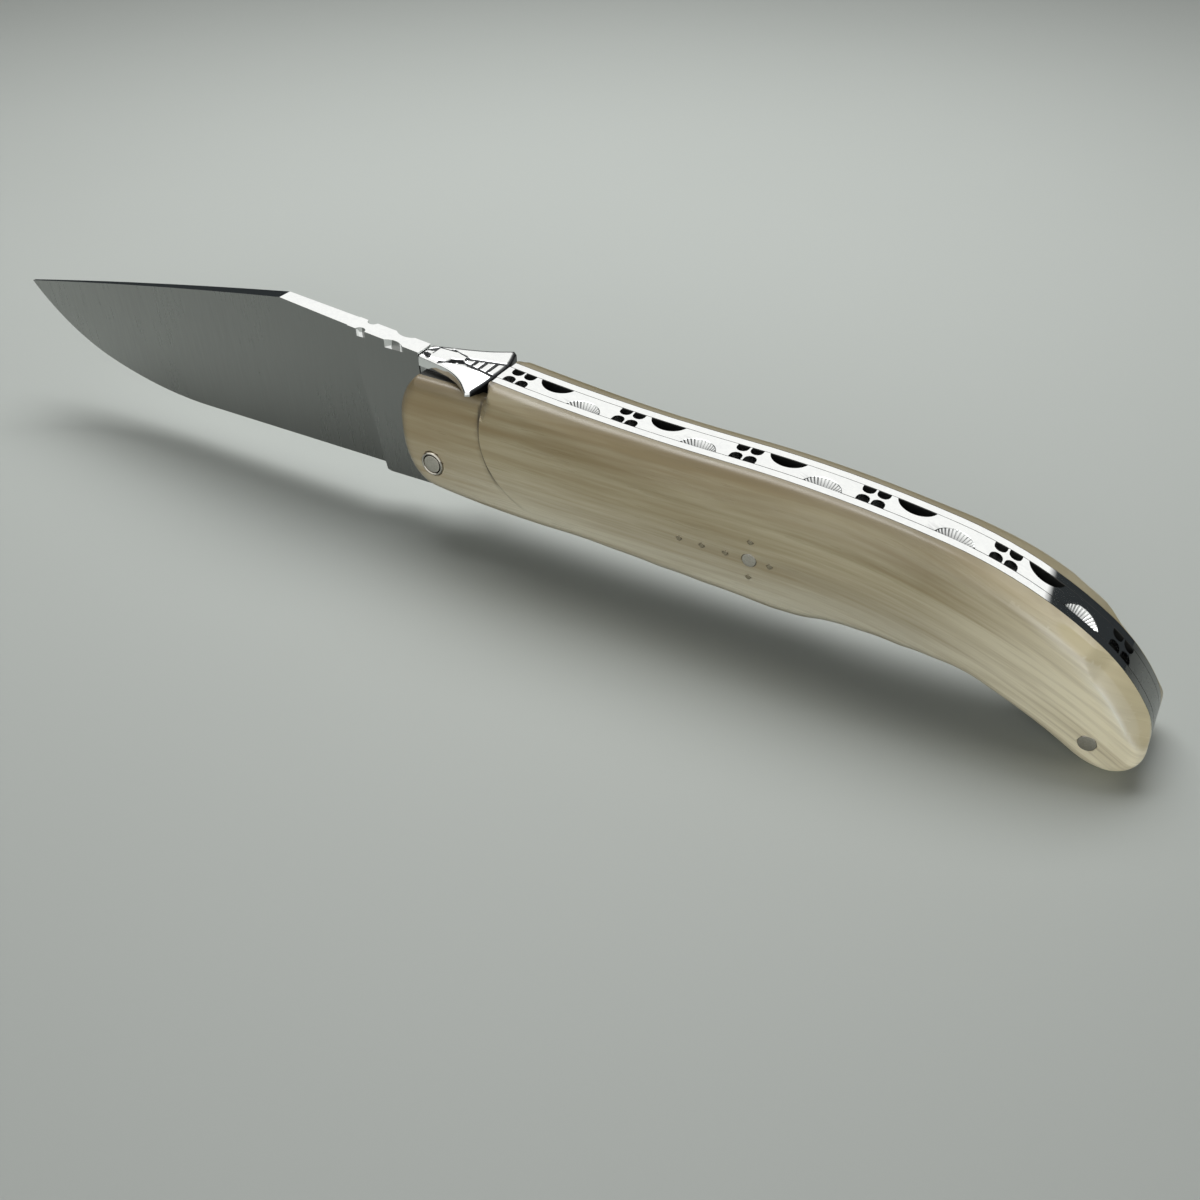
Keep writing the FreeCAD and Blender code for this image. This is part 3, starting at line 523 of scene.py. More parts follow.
def moon_ribs():
    """Slanting ribs in a row along the wall of each near half moon."""
    places, leads = [], []
    for spot, lead in near_moons:
        out = Vector((-lead.y, 0, lead.x))
        ahead = Vector((lead.x, 0, lead.y))
        for rib in range(rib_count):
            angle = rib_spread * (2 * rib / (rib_count - 1) - 1)
            radial = ahead * math.sin(angle) + Vector((0, math.cos(angle), 0))
            place = Vector((spot.x, moon_middle, spot.y)) + radial * moon_radius
            places.append((place - out * rib_radius * math.sin(rib_lean)) * mm)
            leads.append(out * math.cos(rib_lean) + radial * math.sin(rib_lean))
    return rods_on("moon_ribs", places, leads, rib_radius * mm, moon_depth / math.cos(rib_lean) * mm,
                   rib_sides, bright_steel)


def joined(piece, other):
    """Add another piece's mesh to a piece, and take the other away."""
    work = bmesh.new()
    work.from_mesh(piece.data)
    work.from_mesh(other.data)
    work.to_mesh(piece.data)
    work.free()
    bpy.data.objects.remove(other)


def mark(mesh, name, measure):
    """Store a share from 0 to 1 for each point of a mesh, under a name that its material reads."""
    shares = mesh.attributes.new(name, "FLOAT", "POINT")
    for index, vertex in enumerate(mesh.vertices):
        shares.data[index].value = measure(vertex.co)


def filework_polish_and_shade(spot):
    """How dark a point of the spring is painted: darker with depth, as dark polish and painted shade, and
    in the near moons painted shade on their front and on the ribs' flanks.
    """
    gap, nearest = edge_gap(spot.x / mm, spot.z / mm)[:2]
    depth = min(1.0, gap / moon_depth)
    for moon, lead in near_moons:
        if spot.y < 0 and (nearest - moon).length < moon_radius:
            front = max(0.0, (moon.x - nearest.x) / moon_radius)
            crest = moon_radius - rib_radius - gap * math.tan(rib_lean)
            flank = math.hypot((nearest - moon).length, spot.y / mm - moon_middle) - crest
            flank = min(1.0, max(0.0, flank / rib_radius))
            corner = (moon_corner_shade_share * front ** 2 + rib_flank_shade_share * flank) * min(1.0, gap / corner_depth)
            return min(1.0, depth * (moon_shade_share + moon_front_shade_share * front) + corner)
    return depth


spring = link("file_worked_spring", merged_copy("back_spring"))
joined(spring, moon_ribs())
smooth_shaded(spring.data)
spring.data.materials.append(bright_steel)
spring.data.materials.append(brushed_steel)
for polygon in spring.data.polygons:
    polygon.material_index = int(polygon.center.x > butt_start and polygon.normal.x > butt_look)
# Painted darkness in the filework: partly dark polish, partly painted shade, with painted shade on the near
# moons' front and rib flanks.
mark(spring.data, "dark_polish_and_shade", filework_polish_and_shade)
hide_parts("back_spring")
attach(spring, "handle")

# Blade: one piece of stainless steel with a round tang, ground flat from the clip down to the edge.
# Its faces have a fine satin finish off the belt, and its spine and choil are polished bright.
face_look = 0.95
blade = link("ground_blade", merged_copy("blade"))
blade.data.materials.append(brushed_steel)
blade.data.materials.append(bright_steel)
for polygon in blade.data.polygons:
    polygon.material_index = int(abs(polygon.normal.y) < face_look)
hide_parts("blade")
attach(blade, "blade")

# Fly: the little plate over the joint, filed up by hand, with a head, a raised thorax and two spread wings.
# Its lines are cut with a graver and hold dark polish, and its top is buffed bright.
fly_low, fly_high = (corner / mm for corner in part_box("fly_plate"))
thorax_rise = 0.45
fly_level = fly_high.z - thorax_rise
fly_foot = 29.72
near_droop = 1.35
droop_start = 1.9
fly_round = 0.42
fly_corner = math.radians(30)
fly_step = 0.16
graver_depth = 0.16
graver_half = 0.36
cut_gain = 2.2
# Width and start of the painted shade along the fly's far and rear rim.
rim_shade_width = 0.74
rim_shade_start = 1.0
graver_rows = (-0.44, -0.33, -0.22, -0.11, 0.0, 0.11, 0.22, 0.33, 0.44)
thorax_front, thorax_rear, thorax_half = -10.0, -3.8, 1.5
thorax_slope = 0.30
thorax_hem = (-7.8, 2.2)
head_half, tail_half = 2.0, 2.3
near_wing = ((-8.5, -2.5), (-5.2, -3.2), (-2.4, -4.6), (0.3, -6.9), (1.2, -6.4))
far_wing = ((1.5, 6.1), (0.8, 6.7), (-2.4, 5.0), (-5.4, 3.9), (-8.8, 2.9))
fly_tail = ((fly_high.x, -tail_half), (fly_high.x, tail_half))
fly_points = ((fly_low.x, -head_half),) + near_wing + fly_tail + far_wing + ((fly_low.x, head_half),)
fly_rows = (0.03, 0.09, 0.18, 0.30, 0.44)
abdomen_front, abdomen_rear = (-3.9, 0.75), (2.6, 2.15)
ring_places = (-2.45, -0.90, 0.80)
eye_points = ((-11.4, 0.55), (-10.2, 0.95), (-10.2, 1.75))


def graver_lines():
    """The cut lines as pairs of ends: eyes, the thorax's hem, the abdomen's sides and its rings."""
    lines = []
    (front_x, front_y), (rear_x, rear_y) = abdomen_front, abdomen_rear
    for side in (-1, 1):
        eye = [Vector((x, y * side)) for x, y in eye_points]
        lines += list(zip(eye, eye[1:] + eye[:1]))
        for x, y in (abdomen_rear, thorax_hem):
            lines.append((Vector((front_x, front_y * side)), Vector((x, y * side))))
    for place in ring_places:
        reach = front_y + (rear_y - front_y) * (place - front_x) / (rear_x - front_x)
        lines.append((Vector((place, -reach)), Vector((place, reach))))
    return lines


fly_lines = graver_lines()


def line_gap(spot, first, second):
    """How far a point lies from a straight line between two ends."""
    way = second - first
    share = min(1.0, max(0.0, (spot - first).dot(way) / way.length_squared))
    return (spot - first - way * share).length


def graver_cut(spot):
    """How deep a graver line is at a point, from 0 beside it to 1 in its middle."""
    nearest = min(line_gap(spot, first, second) for first, second in fly_lines)
    return max(0.0, 1 - nearest / graver_half)


def inside_loop(loop, spot):
    """Whether a point lies within a closed line of points."""
    crossings = 0
    for first, second in zip(loop, loop[1:] + loop[:1]):
        if (first.y > spot.y) != (second.y > spot.y):
            crossings += spot.x < first.x + (second.x - first.x) * (spot.y - first.y) / (second.y - first.y)
    return crossings % 2 == 1


fly_outline = smooth_loop([Vector(point) for point in fly_points], fly_corner, fly_step)
fly_gap = gap_finder(fly_outline)


def fly_polish_and_shade(place):
    """How dark a point of the fly is painted: dark polish in its cut lines, and painted shade along its far
    and rear rim.
    """
    spot = Vector((place.x, place.y)) / mm
    rim, nearest = fly_gap(*spot)[:2]
    hem = max(0.0, 1 - rim / rim_shade_width) if nearest.y > head_half or nearest.x > rim_shade_start else 0.0
    return min(1.0, cut_gain * max(graver_cut(spot), hem))


def eased(share):
    """A share from 0 to 1 with soft ends."""
    share = min(1.0, max(0.0, share))
    return share * share * (3 - 2 * share)


def fly_height(spot):
    """The height of the fly's top: flat, with a drooping near wing, a raised thorax and a rounded rim."""
    height = fly_level
    if spot.y < -droop_start:
        height -= near_droop * (-droop_start - spot.y) / (fly_high.y - droop_start)
    reach = max(0.0, spot.x - thorax_rear + thorax_half)
    gap = thorax_half - math.hypot(reach, spot.y)
    gap = min(gap, spot.x - thorax_front)
    height += thorax_rise * eased(gap / thorax_slope)
    rim = fly_gap(*spot)[0]
    if rim < fly_round:
        height -= fly_round - math.sqrt(fly_round ** 2 - (fly_round - rim) ** 2)
    return height - graver_depth * graver_cut(spot)


ring_keep_share = 0.97
seam_gap = 0.00001


def ring_rows(loop, gaps):
    """Points in rows inside a closed line, each with the least gap it must keep from that line."""
    spots = []
    for gap in gaps:
        for index, spot in enumerate(loop):
            lead = loop[(index + 1) % len(loop)] - loop[index - 1]
            for turn in (Vector((lead.y, -lead.x)), Vector((-lead.y, lead.x))):
                spots.append((spot + turn.normalized() * gap, gap * ring_keep_share))
    return spots


def kept_spots(spots, loop, gap_to):
    """The points that lie inside a closed line and keep their least gap from it."""
    return [spot for spot, least in spots if gap_to(*spot)[0] > least and inside_loop(loop, spot)]


def grid_spots(low, high, step):
    """Points in staggered rows over an area."""
    spots = []
    for row in range(math.ceil((high.y - low.y) / step)):
        for column in range(math.ceil((high.x - low.x) / step)):
            spots.append(low + Vector((column + row % 2 / 2, row)) * step)
    return spots


def closed_field(name, loops, spots, holes, top, sink):
    """A closed mesh over a flat outline: a shaped upper surface, plain walls and a plain underside."""
    places, seams = [], []
    for loop in loops:
        start = len(places)
        places += loop
        seams += [(start + index, start + (index + 1) % len(loop)) for index in range(len(loop))]
    field = delaunay_2d_cdt(places + spots, seams, [], 1, seam_gap)
    flat_spots, faces = field[0], field[2]
    work = bmesh.new()
    tops = [work.verts.new(top(spot) * mm) for spot in flat_spots]
    for face in faces:
        middle = sum((flat_spots[index] for index in face), Vector((0, 0))) / len(face)
        if all((middle - centre).length > radius for centre, radius in holes):
            work.faces.new([tops[index] for index in face])
    rim = [edge for edge in work.edges if len(edge.link_faces) == 1]
    walls = bmesh.ops.extrude_edge_only(work, edges=rim)["geom"]
    for vertex in walls:
        if isinstance(vertex, bmesh.types.BMVert):
            vertex.co = sink(vertex.co / mm) * mm
    foot = [edge for edge in walls if isinstance(edge, bmesh.types.BMEdge) and len(edge.link_faces) == 1]
    bmesh.ops.triangle_fill(work, edges=foot, use_beauty=False, use_dissolve=False)
    loose = [vertex for vertex in work.verts if not vertex.link_faces]
    bmesh.ops.delete(work, geom=loose, context="VERTS")
    bmesh.ops.recalc_face_normals(work, faces=work.faces)
    mesh = bpy.data.meshes.new(name)
    work.to_mesh(mesh)
    work.free()
    return link(name, smooth_shaded(mesh))


def fly_spots():
    """Points over the fly: rows inside its rim, rows beside each graver line, and a fine grid."""
    spots = ring_rows(fly_outline, fly_rows)
    for first, second in fly_lines:
        way = second - first
        across = Vector((-way.y, way.x)).normalized()
        count = max(2, round(way.length / fly_step))
        for index in range(count + 1):
            spots += [(first + way * index / count + across * row, fly_rows[-1]) for row in graver_rows]
    low, high = Vector((fly_low.x, fly_low.y)), Vector((fly_high.x, fly_high.y))
    spots += [(spot, fly_rows[-1]) for spot in grid_spots(low, high, fly_step) if graver_cut(spot) == 0]
    return kept_spots(spots, fly_outline, fly_gap)


fly = closed_field("spring_fly", [fly_outline], fly_spots(), [],
                   lambda spot: Vector((spot.x, spot.y, fly_height(spot))),
                   lambda spot: Vector((spot.x, spot.y, fly_foot)))
fly.data.materials.append(bright_steel)
# Dark polish in the graver lines, and painted shade along the fly's far and rear rim.
mark(fly.data, "dark_polish_and_shade", fly_polish_and_shade)
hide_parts("fly_plate")
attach(fly, "handle")

# Scales: two slabs of pale horn, riveted to the liners, bowed across and rounded off at the rim.
# The front is carved down to a leaning floor beside the fly, and the butt has a long facet along the back.
scale_low, scale_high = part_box("near_scale")
scale_face = -scale_low.y / mm
seat_face = -scale_high.y / mm
back_top = scale_high.z / mm
camber_radius = 42.0
camber_level = 19.9
camber_bend = 52.85
camber_end = Vector((109.55, 2.64))
floor_sink = 2.6
floor_slope = math.tan(math.radians(6.3))
floor_crease = 0.8
step_points = (Vector((4.75, 31.5)), Vector((3.05, 26.2)), Vector((6.75, 15.5)))
step_width = 0.9
step_rows = range(-6, 16)
step_row_gap = 0.1
step_turns = [math.radians(100 + 1.7 * number) for number in range(110)]
crease_share = 1.2
crease_width = 0.34
crease_foot = 13.5
crease_fade = 4.5
rim_round = 2.1
rim_share = 0.7
fall_reach = 5.5
fall_stand = 0.45
fall_start, fall_full = 4.0, 34.0
fall_share = 0.45
fall_power = 1.5
fall_fade, fall_end = 68.0, 88.0
butt_number = max(range(len(outline)), key=lambda index: outline[index].x)
facet_start, facet_open = 85.5, 93.5
facet_swing, facet_full = 95.8, 99.3
facet_swing_share = 0.45
facet_stop, facet_end = 10.5, 3.5
facet_steep = 1.9
facet_rise = 1.75
facet_blend = 0.35
ridge_crease = 0.12
ridge_fade = 0.7
ridge_highlight_width = 0.32
glow_width = 1.3
glow_start = 0.9
glow_share = 0.45
# Painted shade along the belly and along the back rim.
belly_shade_share = 0.5
belly_shade_reach = 2.6
back_shade_share = 0.36
back_shade_reach = 1.7
ring_gaps = (0.04, 0.10, 0.18, 0.28, 0.40, 0.54, 0.70, 0.90, 1.10, 1.30, 1.50, 1.70, 1.90, 2.20, 2.70)
grid_step = 0.85
pin_seam = 0.12
pin_clear = 0.36
hole_sides = 40


def soft_least(first, second, blend):
    """The lesser of two heights, rounded where they cross."""
    share = min(1.0, max(0.0, 0.5 + (second - first) / (2 * blend)))
    return second + (first - second) * share - blend * share * (1 - share)


def circle_through(first, second, third):
    """The centre and radius of the circle through three points."""
    a, b = second - first, third - first
    twice = 2 * (a.x * b.y - a.y * b.x)
    lean = Vector((b.y * a.length_squared - a.y * b.length_squared,
                   a.x * b.length_squared - b.x * a.length_squared)) / twice
    return first + lean, lean.length


step_centre, step_radius = circle_through(*step_points)
camber_run = camber_end - Vector((camber_bend, camber_level))
camber_turn = camber_run.length_squared / (-2 * camber_run.y)


def camber_distance(x, z):
    """How far a point lies from the line down the middle of the scale where it bows out most."""
    if x < camber_bend:
        return z - camber_level
    return math.hypot(x - camber_bend, z - camber_level + camber_turn) - camber_turn


def bowed_height(x, z):
    """How far the scale's outer surface stands from the middle plane, before the butt's facet is cut."""
    gap, _, number = edge_gap(x, z)
    bow = scale_face - camber_radius + math.sqrt(camber_radius ** 2 - camber_distance(x, z) ** 2)
    floor = scale_face - floor_sink + floor_slope * (back_top - z)
    ahead = (Vector((x, z)) - step_centre).length - step_radius
    carved = soft_least(bow, floor, floor_crease)
    height = bow + (carved - bow) * eased(ahead / step_width) if x < step_centre.x else bow
    if number < butt_number and gap < fall_reach and x > step_points[1].x:
        amount = fall_share * eased((x - fall_start) / (fall_full - fall_start))
        amount *= 1 - eased((x - fall_fade) / (fall_end - fall_fade))
        height -= amount * (height - seat_face - fall_stand) * (1 - gap / fall_reach) ** fall_power
    radius = min(rim_round, (height - seat_face) * rim_share)
    if gap < radius:
        height -= radius - math.sqrt(radius ** 2 - (radius - gap) ** 2)
    return height


def facet_out(z):
    """How far the facet has run out towards the butt's foot, from 0 to 1."""
    return eased((facet_stop - z) / (facet_stop - facet_end))


def facet_height(x, z):
    """How far the butt's facet stands from the middle plane; past its ends it lies above the bow."""
    gap, nearest, number = edge_gap(x, z)
    if nearest.x < facet_start or number > butt_number:
        return scale_face * 2
    opened = eased((nearest.x - facet_start) / (facet_open - facet_start))
    swung = eased((nearest.x - facet_swing) / (facet_full - facet_swing))
    away = 1 - opened * (1 - facet_swing_share) - swung * facet_swing_share
    away += facet_out(nearest.y)
    return seat_face + facet_steep * (gap + facet_rise * away)


def scale_height(x, z):
    """How far the finished scale's outer surface stands from the knife's middle plane at a point."""
    return soft_least(bowed_height(x, z), facet_height(x, z), ridge_crease + ridge_fade * facet_out(z))


def facet_shade_share(spot):
    """How far a point lies on the butt's facet, from 0 to 1, which sets the facet's painted shade."""
    x, z = spot.x / mm, spot.z / mm
    return eased((bowed_height(x, z) - facet_height(x, z)) / facet_blend)


def ridge_highlight_share(spot):
    """How strongly a point is painted with highlight: a thin line on the ridge beside the facet, stronger
    towards the butt's end, and a broader glow beside it.
    """
    x, z = spot.x / mm, spot.z / mm
    rise = (bowed_height(x, z) - facet_height(x, z)) / facet_steep
    line = math.exp(-(rise / ridge_highlight_width) ** 2) * eased((x - facet_swing) / (facet_full - facet_swing))
    glow = glow_share * math.exp(-(rise / glow_width) ** 2) if edge_gap(x, z)[0] > glow_start else 0.0
    return max(line, glow) * (1 - facet_out(z))


def step_shade(spot):
    """How much painted shade lies in the corner at the foot of the carved step."""
    x, z = spot.x / mm, spot.z / mm
    ahead = (Vector((x, z)) - step_centre).length - step_radius
    if x > step_centre.x:
        return 0.0
    across = (ahead - step_width * crease_share) / crease_width
    return eased((z - crease_foot) / crease_fade) * math.exp(-across ** 2)


def rim_shade(spot):
    """How much painted shade darkens the horn along its belly and along the liner."""
    gap, nearest, number = edge_gap(spot.x / mm, spot.z / mm)
    if number < butt_number:
        darkening = back_shade_share * eased(1 - gap / back_shade_reach)
    else:
        darkening = belly_shade_share * eased(1 - gap / belly_shade_reach)
    return darkening * (1 - eased((nearest.x - fall_fade) / (fall_end - fall_fade)))


def horn_painted_shade(spot):
    """How dark the horn is painted: painted shade in the corner of its carved step and along its rims."""
    return max(step_shade(spot), rim_shade(spot))


def scale_spots(holes):
    """Places all over the scale: close rows along its rim and its step, and a plain grid between them."""
    spots = ring_rows(outline, ring_gaps)
    for row in step_rows:
        reach = step_radius + row * step_row_gap
        for turn in step_turns:
            spots.append((step_centre + Vector((math.cos(turn), math.sin(turn))) * reach, ring_gaps[-1]))
    low = Vector((scale_low.x, scale_low.z)) / mm
    high = Vector((scale_high.x, scale_high.z)) / mm
    spots += [(spot, ring_gaps[-1]) for spot in grid_spots(low, high, grid_step)]
    for middle, radius in holes:
        spots = [(spot, least) for spot, least in spots if (spot - middle).length > radius + pin_clear]
    return kept_spots(spots, outline, edge_gap)


def ring_at(middle, radius):
    """Points round a hole."""
    turns = [2 * math.pi * side / hole_sides for side in range(hole_sides)]
    return [middle + Vector((math.cos(turn), math.sin(turn))) * radius for turn in turns]


def make_scale(name, side, holes):
    """One horn scale: its carved outer surface, its walls and its flat seat."""
    loops = [outline] + [ring_at(middle, radius + pin_seam) for middle, radius in holes]
    return closed_field(name, loops, scale_spots(holes), holes,
                        lambda spot: Vector((spot.x, side * scale_height(*spot), spot.y)),
                        lambda spot: Vector((spot.x, side * seat_face, spot.z)))


def hole_of(node):
    """The middle and the radius of a round piece, in the side plane in millimetres."""
    low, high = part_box(node)
    return Vector((low.x + high.x, low.z + high.z)) / 2 / mm, (high.x - low.x) / 2 / mm


broad_stretch = (14.0, 30.0, 260.0)
fine_stretch = (42.0, 50.0, 1150.0)
grain_bend = {"Bend": 5.6, "Bend_Start": 53.0 * mm}
belly_low, belly_high = 12.0 * mm, 20.5 * mm
butt_near, butt_far = 74.0 * mm, 100.0 * mm
front_near, front_far = -8.0 * mm, 10.0 * mm
brown_shade_low, brown_shade_high = 14.0 * mm, 29.0 * mm
far_shade_depth = 1.0 * mm
grain_depth = 0.04 * mm
horn_scatter = 0.8 * mm


def horn():
    """Pale honey horn with drawn streaks, creamier towards the butt, browner and darker under the fly as
    partly its tone and partly painted shade, with more painted shade and a painted highlight on it.
    """
    material, tree, shader = new_material("pale_horn")
    broad = use_group(tree, streaks_group, Stretch=broad_stretch, Detail=5.0, **grain_bend)
    fine = use_group(tree, streaks_group, Stretch=fine_stretch, Detail=7.0, **grain_bend)
    handling = use_group(tree, handling_group, Smudge_Size=70.0, Mark_Size=700.0)
    place = object_place(tree)
    ground = mixed(tree, spread(tree, broad["Streaks"], 0.34, 0.66),
                   colour(0.292, 0.232, 0.124), colour(0.565, 0.515, 0.362))
    lower = spread(tree, place["Z"], belly_low, belly_high, 0.70, 0.0)
    bellied = mixed(tree, lower, ground, colour(0.66, 0.635, 0.52))
    butt = spread(tree, place["X"], butt_near, butt_far, 0.0, 0.93)
    paled = mixed(tree, butt, bellied, colour(0.95, 0.875, 0.655))
    lined = mixed(tree, spread(tree, fine["Streaks"], 0.44, 0.74, 0.0, 0.58),
                  paled, colour(0.30, 0.228, 0.118))
    # Browner and darker towards the front and under the fly: partly the horn's tone, partly painted shade.
    front = spread(tree, place["X"], front_near, front_far, 0.60, 0.0)
    upper = spread(tree, place["Z"], brown_shade_low, brown_shade_high, 0.55, 1.0)
    darker = mixed(tree, maths(tree, "MULTIPLY", front, upper), lined, colour(0.27, 0.19, 0.085))
    # Painted shade: near black in the step's corner and along the belly and the back rim.
    dark_polish_and_shade = spread(tree, marked(tree, "dark_polish_and_shade"), 0.0, 1.0, 0.0, 0.9)
    rim_and_crease_shaded = mixed(tree, dark_polish_and_shade, darker, colour(0.03, 0.022, 0.012))
    # Painted shade: the butt's facet is turned a darker olive.
    facet = spread(tree, marked(tree, "facet"), 0.0, 1.0, 0.0, 0.72)
    cut = mixed(tree, facet, rim_and_crease_shaded, colour(0.66, 0.58, 0.36))
    # Painted highlight: a near white line along the facet's ridge with a paler glow beside it.
    ridge = spread(tree, marked(tree, "ridge"), 0.1, 1.0, 0.0, 0.9)
    ridge_highlighted = mixed(tree, ridge, cut, colour(0.98, 0.95, 0.84))
    # Painted shade: the far scale is darkened.
    far_scale_shade = spread(tree, place["Y"], 0.0, far_shade_depth, 0.0, 0.62)
    face = mixed(tree, far_scale_shade, ridge_highlighted, colour(0.20, 0.17, 0.09))
    gloss = spread(tree, fine["Streaks"], 0.3, 0.7, 0.24, 0.36)
    worn = maths(tree, "ADD", gloss, spread(tree, handling["Smudge"], 0.45, 0.75, 0.0, 0.08))
    coat(tree, shader, face, worn)
    add_relief(tree, shader, fine["Streaks"], 0.08, grain_depth)
    shader.inputs["Subsurface Weight"].default_value = 0.12
    shader.inputs["Subsurface Radius"].default_value = (0.8, 0.75, 0.6)
    shader.inputs["Subsurface Scale"].default_value = horn_scatter
    return material


cross_nodes = [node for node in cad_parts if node.startswith("cross_pin")]
scale_holes = {"near_scale": ["near_pivot_collar", "butt_rivet", "cross_centre_pin"] + cross_nodes,
               "far_scale": ["far_pivot_collar", "butt_rivet", "far_scale_pin"]}
horn_material = horn()
for node, side in (("near_scale", -1), ("far_scale", 1)):
    scale = make_scale(node + "_horn", side, [hole_of(pin) for pin in scale_holes[node]])
    scale.data.materials.append(horn_material)
    mark(scale.data, "dark_polish_and_shade", horn_painted_shade)
    mark(scale.data, "facet", facet_shade_share)
    mark(scale.data, "ridge", ridge_highlight_share)
    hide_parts(node)
    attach(scale, "handle")

# Pins and rivets: round steel wire through the handle, headed over and filed off level with the horn.
# The blade's pin ends in a pair of domed collars, and a cross of thin wire is let into the near scale.
pin_turns = 64
head_rise = 0.05
head_round = 0.10
head_shares = ((0.0, 1.0), (0.3, 0.45), (1.0, 0.15))
crown_share = 0.5
collar_dome = 0.34
dome_turns = [math.radians(turn) for turn in range(0, 181, 15)]
cross_sides = 20
cross_ease = 0.06 * mm
wire_stretch = (300.0, 900.0, 2400.0)
wire_depth = 0.02 * mm


def drawn_wire(name, bright, worn):
    """Drawn wire with a brushed end, from its bright and its worn colour."""
    material, tree, shader = new_material(name, 1.0)
    lines = use_group(tree, streaks_group, Stretch=wire_stretch, Detail=5.0)
    handling = use_group(tree, handling_group, Smudge_Size=400.0, Mark_Size=3000.0)
    face = mixed(tree, spread(tree, handling["Marks"], 0.35, 0.7), bright, worn)
    grain = spread(tree, lines["Streaks"], 0.3, 0.7, 0.14, 0.28)
    coat(tree, shader, face, grain)
    add_relief(tree, shader, lines["Streaks"], 0.06, wire_depth)
    return material


wire_steel = drawn_wire("pin_steel", colour(0.57, 0.54, 0.48), colour(0.45, 0.42, 0.37))
# The inlaid wire's warm brown colour is partly painted reflection of the horn round it.
inlay_wire = drawn_wire("inlay_wire", colour(0.41, 0.36, 0.26), colour(0.31, 0.268, 0.19))


def turned(name, middle, profile):
    """A steel piece turned about a line across the knife, from points of radius and place along it."""
    work = bmesh.new()
    rows = []
    for radius, place in profile:
        count = pin_turns if radius else 1
        row = []
        for turn in range(count):
            angle = 2 * math.pi * turn / pin_turns
            spot = (middle.x + radius * math.cos(angle), place, middle.y + radius * math.sin(angle))
            row.append(work.verts.new(Vector(spot) * mm))
        rows.append(row)
    for first, second in zip(rows, rows[1:]):
        for turn in range(pin_turns):
            ahead = (turn + 1) % pin_turns
            corners = [first[turn % len(first)], second[turn % len(second)],
                       second[ahead % len(second)], first[ahead % len(first)]]
            work.faces.new(list(dict.fromkeys(corners)))
    bmesh.ops.remove_doubles(work, verts=work.verts, dist=merge_gap)
    bmesh.ops.recalc_face_normals(work, faces=work.faces)
    mesh = bpy.data.meshes.new(name)
    work.to_mesh(mesh)
    work.free()
    mesh.materials.append(wire_steel)
    return link(name, smooth_shaded(mesh))


def headed_end(radius, face, side):
    """The end of a pin: a wall, a small round and a low crown."""
    rim = [(radius - head_round * inward, side * (face - head_rise * down)) for inward, down in head_shares]
    return rim + [(radius * crown_share, side * face), (0, side * face)]


def finish_pin(piece, node):
    """Let a pin stand for its CAD node in the handle."""
    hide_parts(node)
    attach(piece, "handle")


for node in ("pivot_pin", "butt_rivet", "spring_pin"):
    middle, radius = hole_of(node)
    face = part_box(node)[1].y / mm
    ends = headed_end(radius, face, -1)[::-1] + headed_end(radius, face, 1)
    finish_pin(turned(node + "_wire", middle, ends), node)

for node, side in (("cross_centre_pin", -1), ("far_scale_pin", 1)):
    middle, radius = hole_of(node)
    face = max(abs(corner.y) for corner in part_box(node)) / mm
    profile = [(0, side * seat_face), (radius, side * seat_face)] + headed_end(radius, face, side)
    finish_pin(turned(node + "_wire", middle, profile), node)

for node, side in (("near_pivot_collar", -1), ("far_pivot_collar", 1)):
    middle, radius = hole_of(node)
    bore = hole_of("pivot_pin")[1] + pin_seam
    face = max(abs(corner.y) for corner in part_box(node)) / mm
    foot = face - collar_dome
    half = (radius - bore) / 2
    dome = [(bore + half + half * math.cos(turn), side * (foot + collar_dome * math.sin(turn)))
            for turn in dome_turns]
    profile = [(bore, side * seat_face), (radius, side * seat_face)] + dome + [(bore, side * seat_face)]
    finish_pin(turned(node + "_ring", middle, profile), node)

for node in cross_nodes:
    low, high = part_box(node)
    end = Vector(((low.x + high.x) / 2, low.y, (low.z + high.z) / 2))
    wire = rods_on(node + "_wire", [end], [Vector((0, -1, 0))], (high.x - low.x) / 2, high.y - low.y,
                   cross_sides, inlay_wire)
    smooth_shaded(wire.data)
    ease_edges(wire, cross_ease)
    finish_pin(wire, node)

# Floor: a plain matt sheet of pale grey-green, which the knife's butt stands on.
# It runs far past the picture, so that every view has it behind the knife.
floor_reach = 3.0
floor_mesh = bpy.data.meshes.new("floor")
floor_corners = [(x * floor_reach, y * floor_reach, 0) for x, y in ((-1, -1), (1, -1), (1, 1), (-1, 1))]
floor_mesh.from_pydata(floor_corners, [], [(0, 1, 2, 3)])
floor = link("floor", floor_mesh)


def floor_sheet():
    """Matt paper with a faint tooth."""
    material, tree, shader = new_material("floor_sheet")
    handling = use_group(tree, handling_group, Smudge_Size=6.0, Mark_Size=900.0)
    tone = mixed(tree, handling["Smudge"], colour(0.47, 0.50, 0.475), colour(0.50, 0.53, 0.505))
    coat(tree, shader, tone, 0.55)
    shader.inputs["Specular IOR Level"].default_value = 0.25
    return material


floor.data.materials.append(floor_sheet())

# Studio light: one large soft lamp above and behind the knife, in a dim room with a pale card low in front.
# Bright metal mirrors a wide white ceiling that ends at a set height, and the camera sees a pale backdrop.
ceiling_edge = [math.sin(math.radians(angle)) for angle in (25.0, 26.2)]
front_drop_share = 0.5
fill_way = (-0.35, 0.75, 0.56)
card_way = (0.42, -0.90, 0.10)
lamp_width, lamp_depth = 0.40, 0.30
lamp_energy = 1.95
lamp_place = Vector((-0.08, 0.175, 0.41))
lamp_target = Vector((0.0, 0.03, 0.0))
scene = bpy.context.scene
room = bpy.data.worlds.new("studio")
room.use_nodes = True
scene.world = room
room_tree = room.node_tree
sky = room_tree.nodes["Background"]
towards = room_tree.nodes.new("ShaderNodeTexCoord").outputs["Generated"]


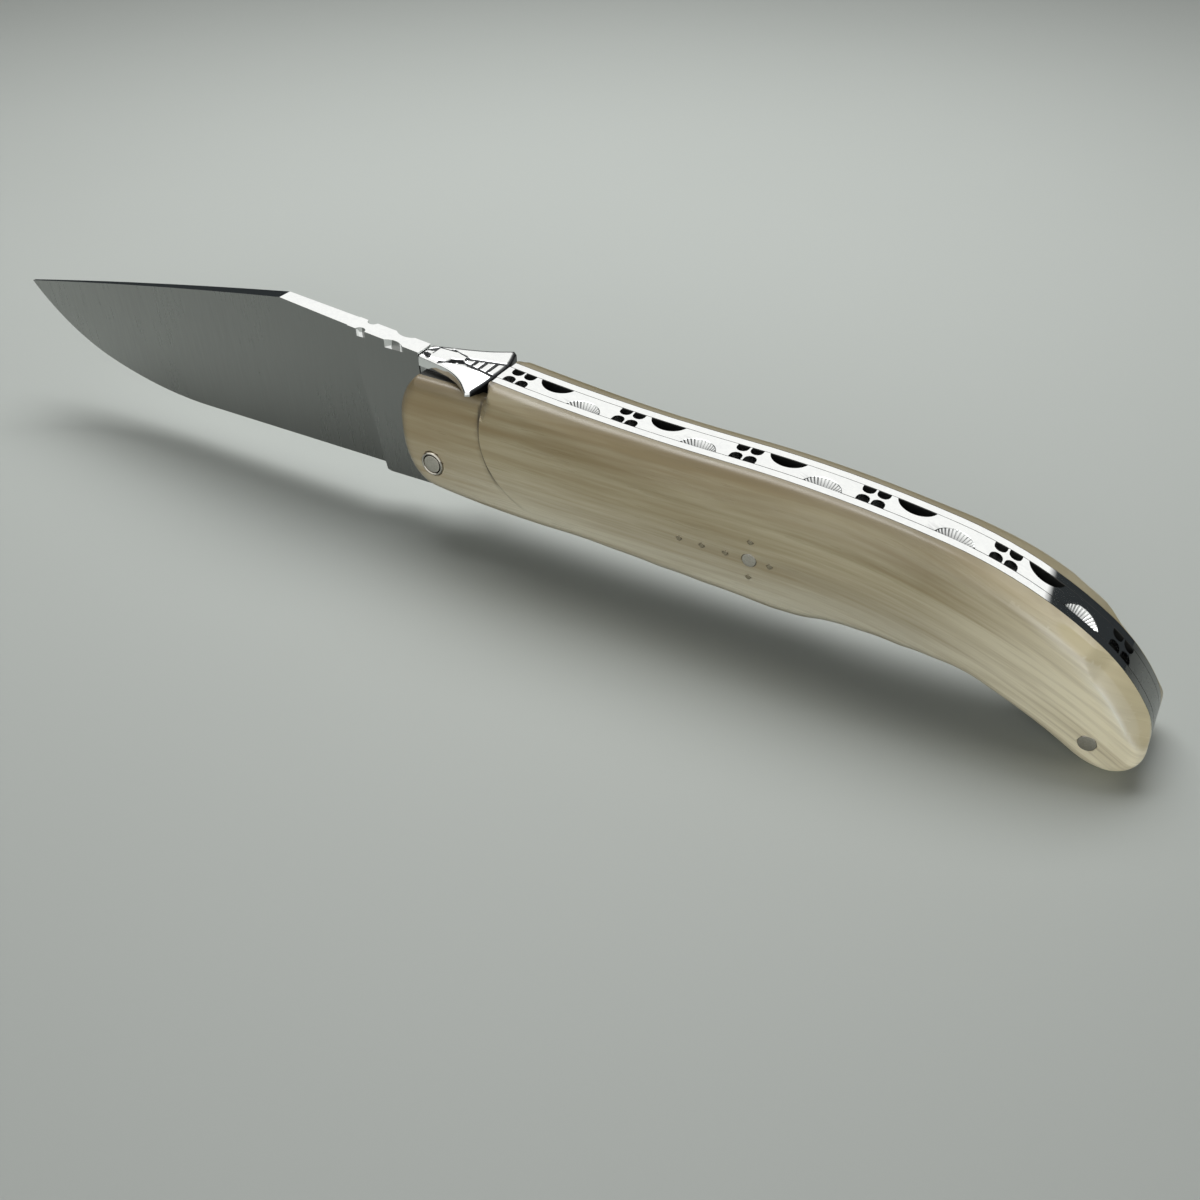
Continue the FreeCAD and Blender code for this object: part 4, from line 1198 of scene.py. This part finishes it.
def towards_share(way, low, high):
    """How nearly a direction points one way, as a share between two limits."""
    node = add_node(room_tree, "ShaderNodeVectorMath", _0=towards, _1=way)
    node.operation = "DOT_PRODUCT"
    return spread(room_tree, node.outputs["Value"], low, high)


way = add_node(room_tree, "ShaderNodeSeparateXYZ", Vector=towards).outputs
front = spread(room_tree, way["Y"], -1.0, 0.0, front_drop_share, 0.0)
ceiling = spread(room_tree, maths(room_tree, "ADD", way["Z"], front), *ceiling_edge)
glints = mixed(room_tree, ceiling, colour(0.03, 0.034, 0.036), colour(1.13, 1.13, 1.11))
soft_fill = mixed(room_tree, towards_share(fill_way, -0.4, 0.9),
                  colour(0.010, 0.0105, 0.010), colour(0.055, 0.055, 0.054))
lit_fill = mixed(room_tree, towards_share(card_way, 0.80, 0.97), soft_fill, colour(3.2, 3.18, 3.07))
ray = room_tree.nodes.new("ShaderNodeLightPath")
room_light = mixed(room_tree, ray.outputs["Is Glossy Ray"], lit_fill, glints)
backdrop = mixed(room_tree, ray.outputs["Is Camera Ray"], room_light, colour(0.40, 0.43, 0.405))
room_tree.links.new(backdrop, sky.inputs["Color"])
sky.inputs["Strength"].default_value = 1.0

lamp_data = bpy.data.lights.new("soft_lamp", "AREA")
lamp_data.shape = "RECTANGLE"
lamp_data.size = lamp_width
lamp_data.size_y = lamp_depth
lamp_data.energy = lamp_energy
lamp = bpy.data.objects.new("soft_lamp", lamp_data)
scene.collection.objects.link(lamp)
lamp.location = lamp_place
lamp.rotation_euler = (lamp_target - lamp_place).to_track_quat("-Z", "Y").to_euler()

# Camera: from the knife's near side, above the butt, looking down along the handle to the tip.
# Its place and turns were fitted to the photographed knife, with a lens as long as its sensor is wide.
camera_place = (0.09903, -0.1388, 0.11914)
view_turn = math.radians(29.587)
view_drop = math.radians(38.30)
sensor_width = 36.0
near_limit = 0.01
camera_data = bpy.data.cameras.new("camera")
camera_data.lens = sensor_width
camera_data.sensor_width = sensor_width
camera_data.clip_start = near_limit
camera = bpy.data.objects.new("camera", camera_data)
scene.collection.objects.link(camera)
camera.location = camera_place
camera.rotation_euler = (math.pi / 2 - view_drop, 0, view_turn)
scene.camera = camera
scene.view_settings.view_transform = "Standard"
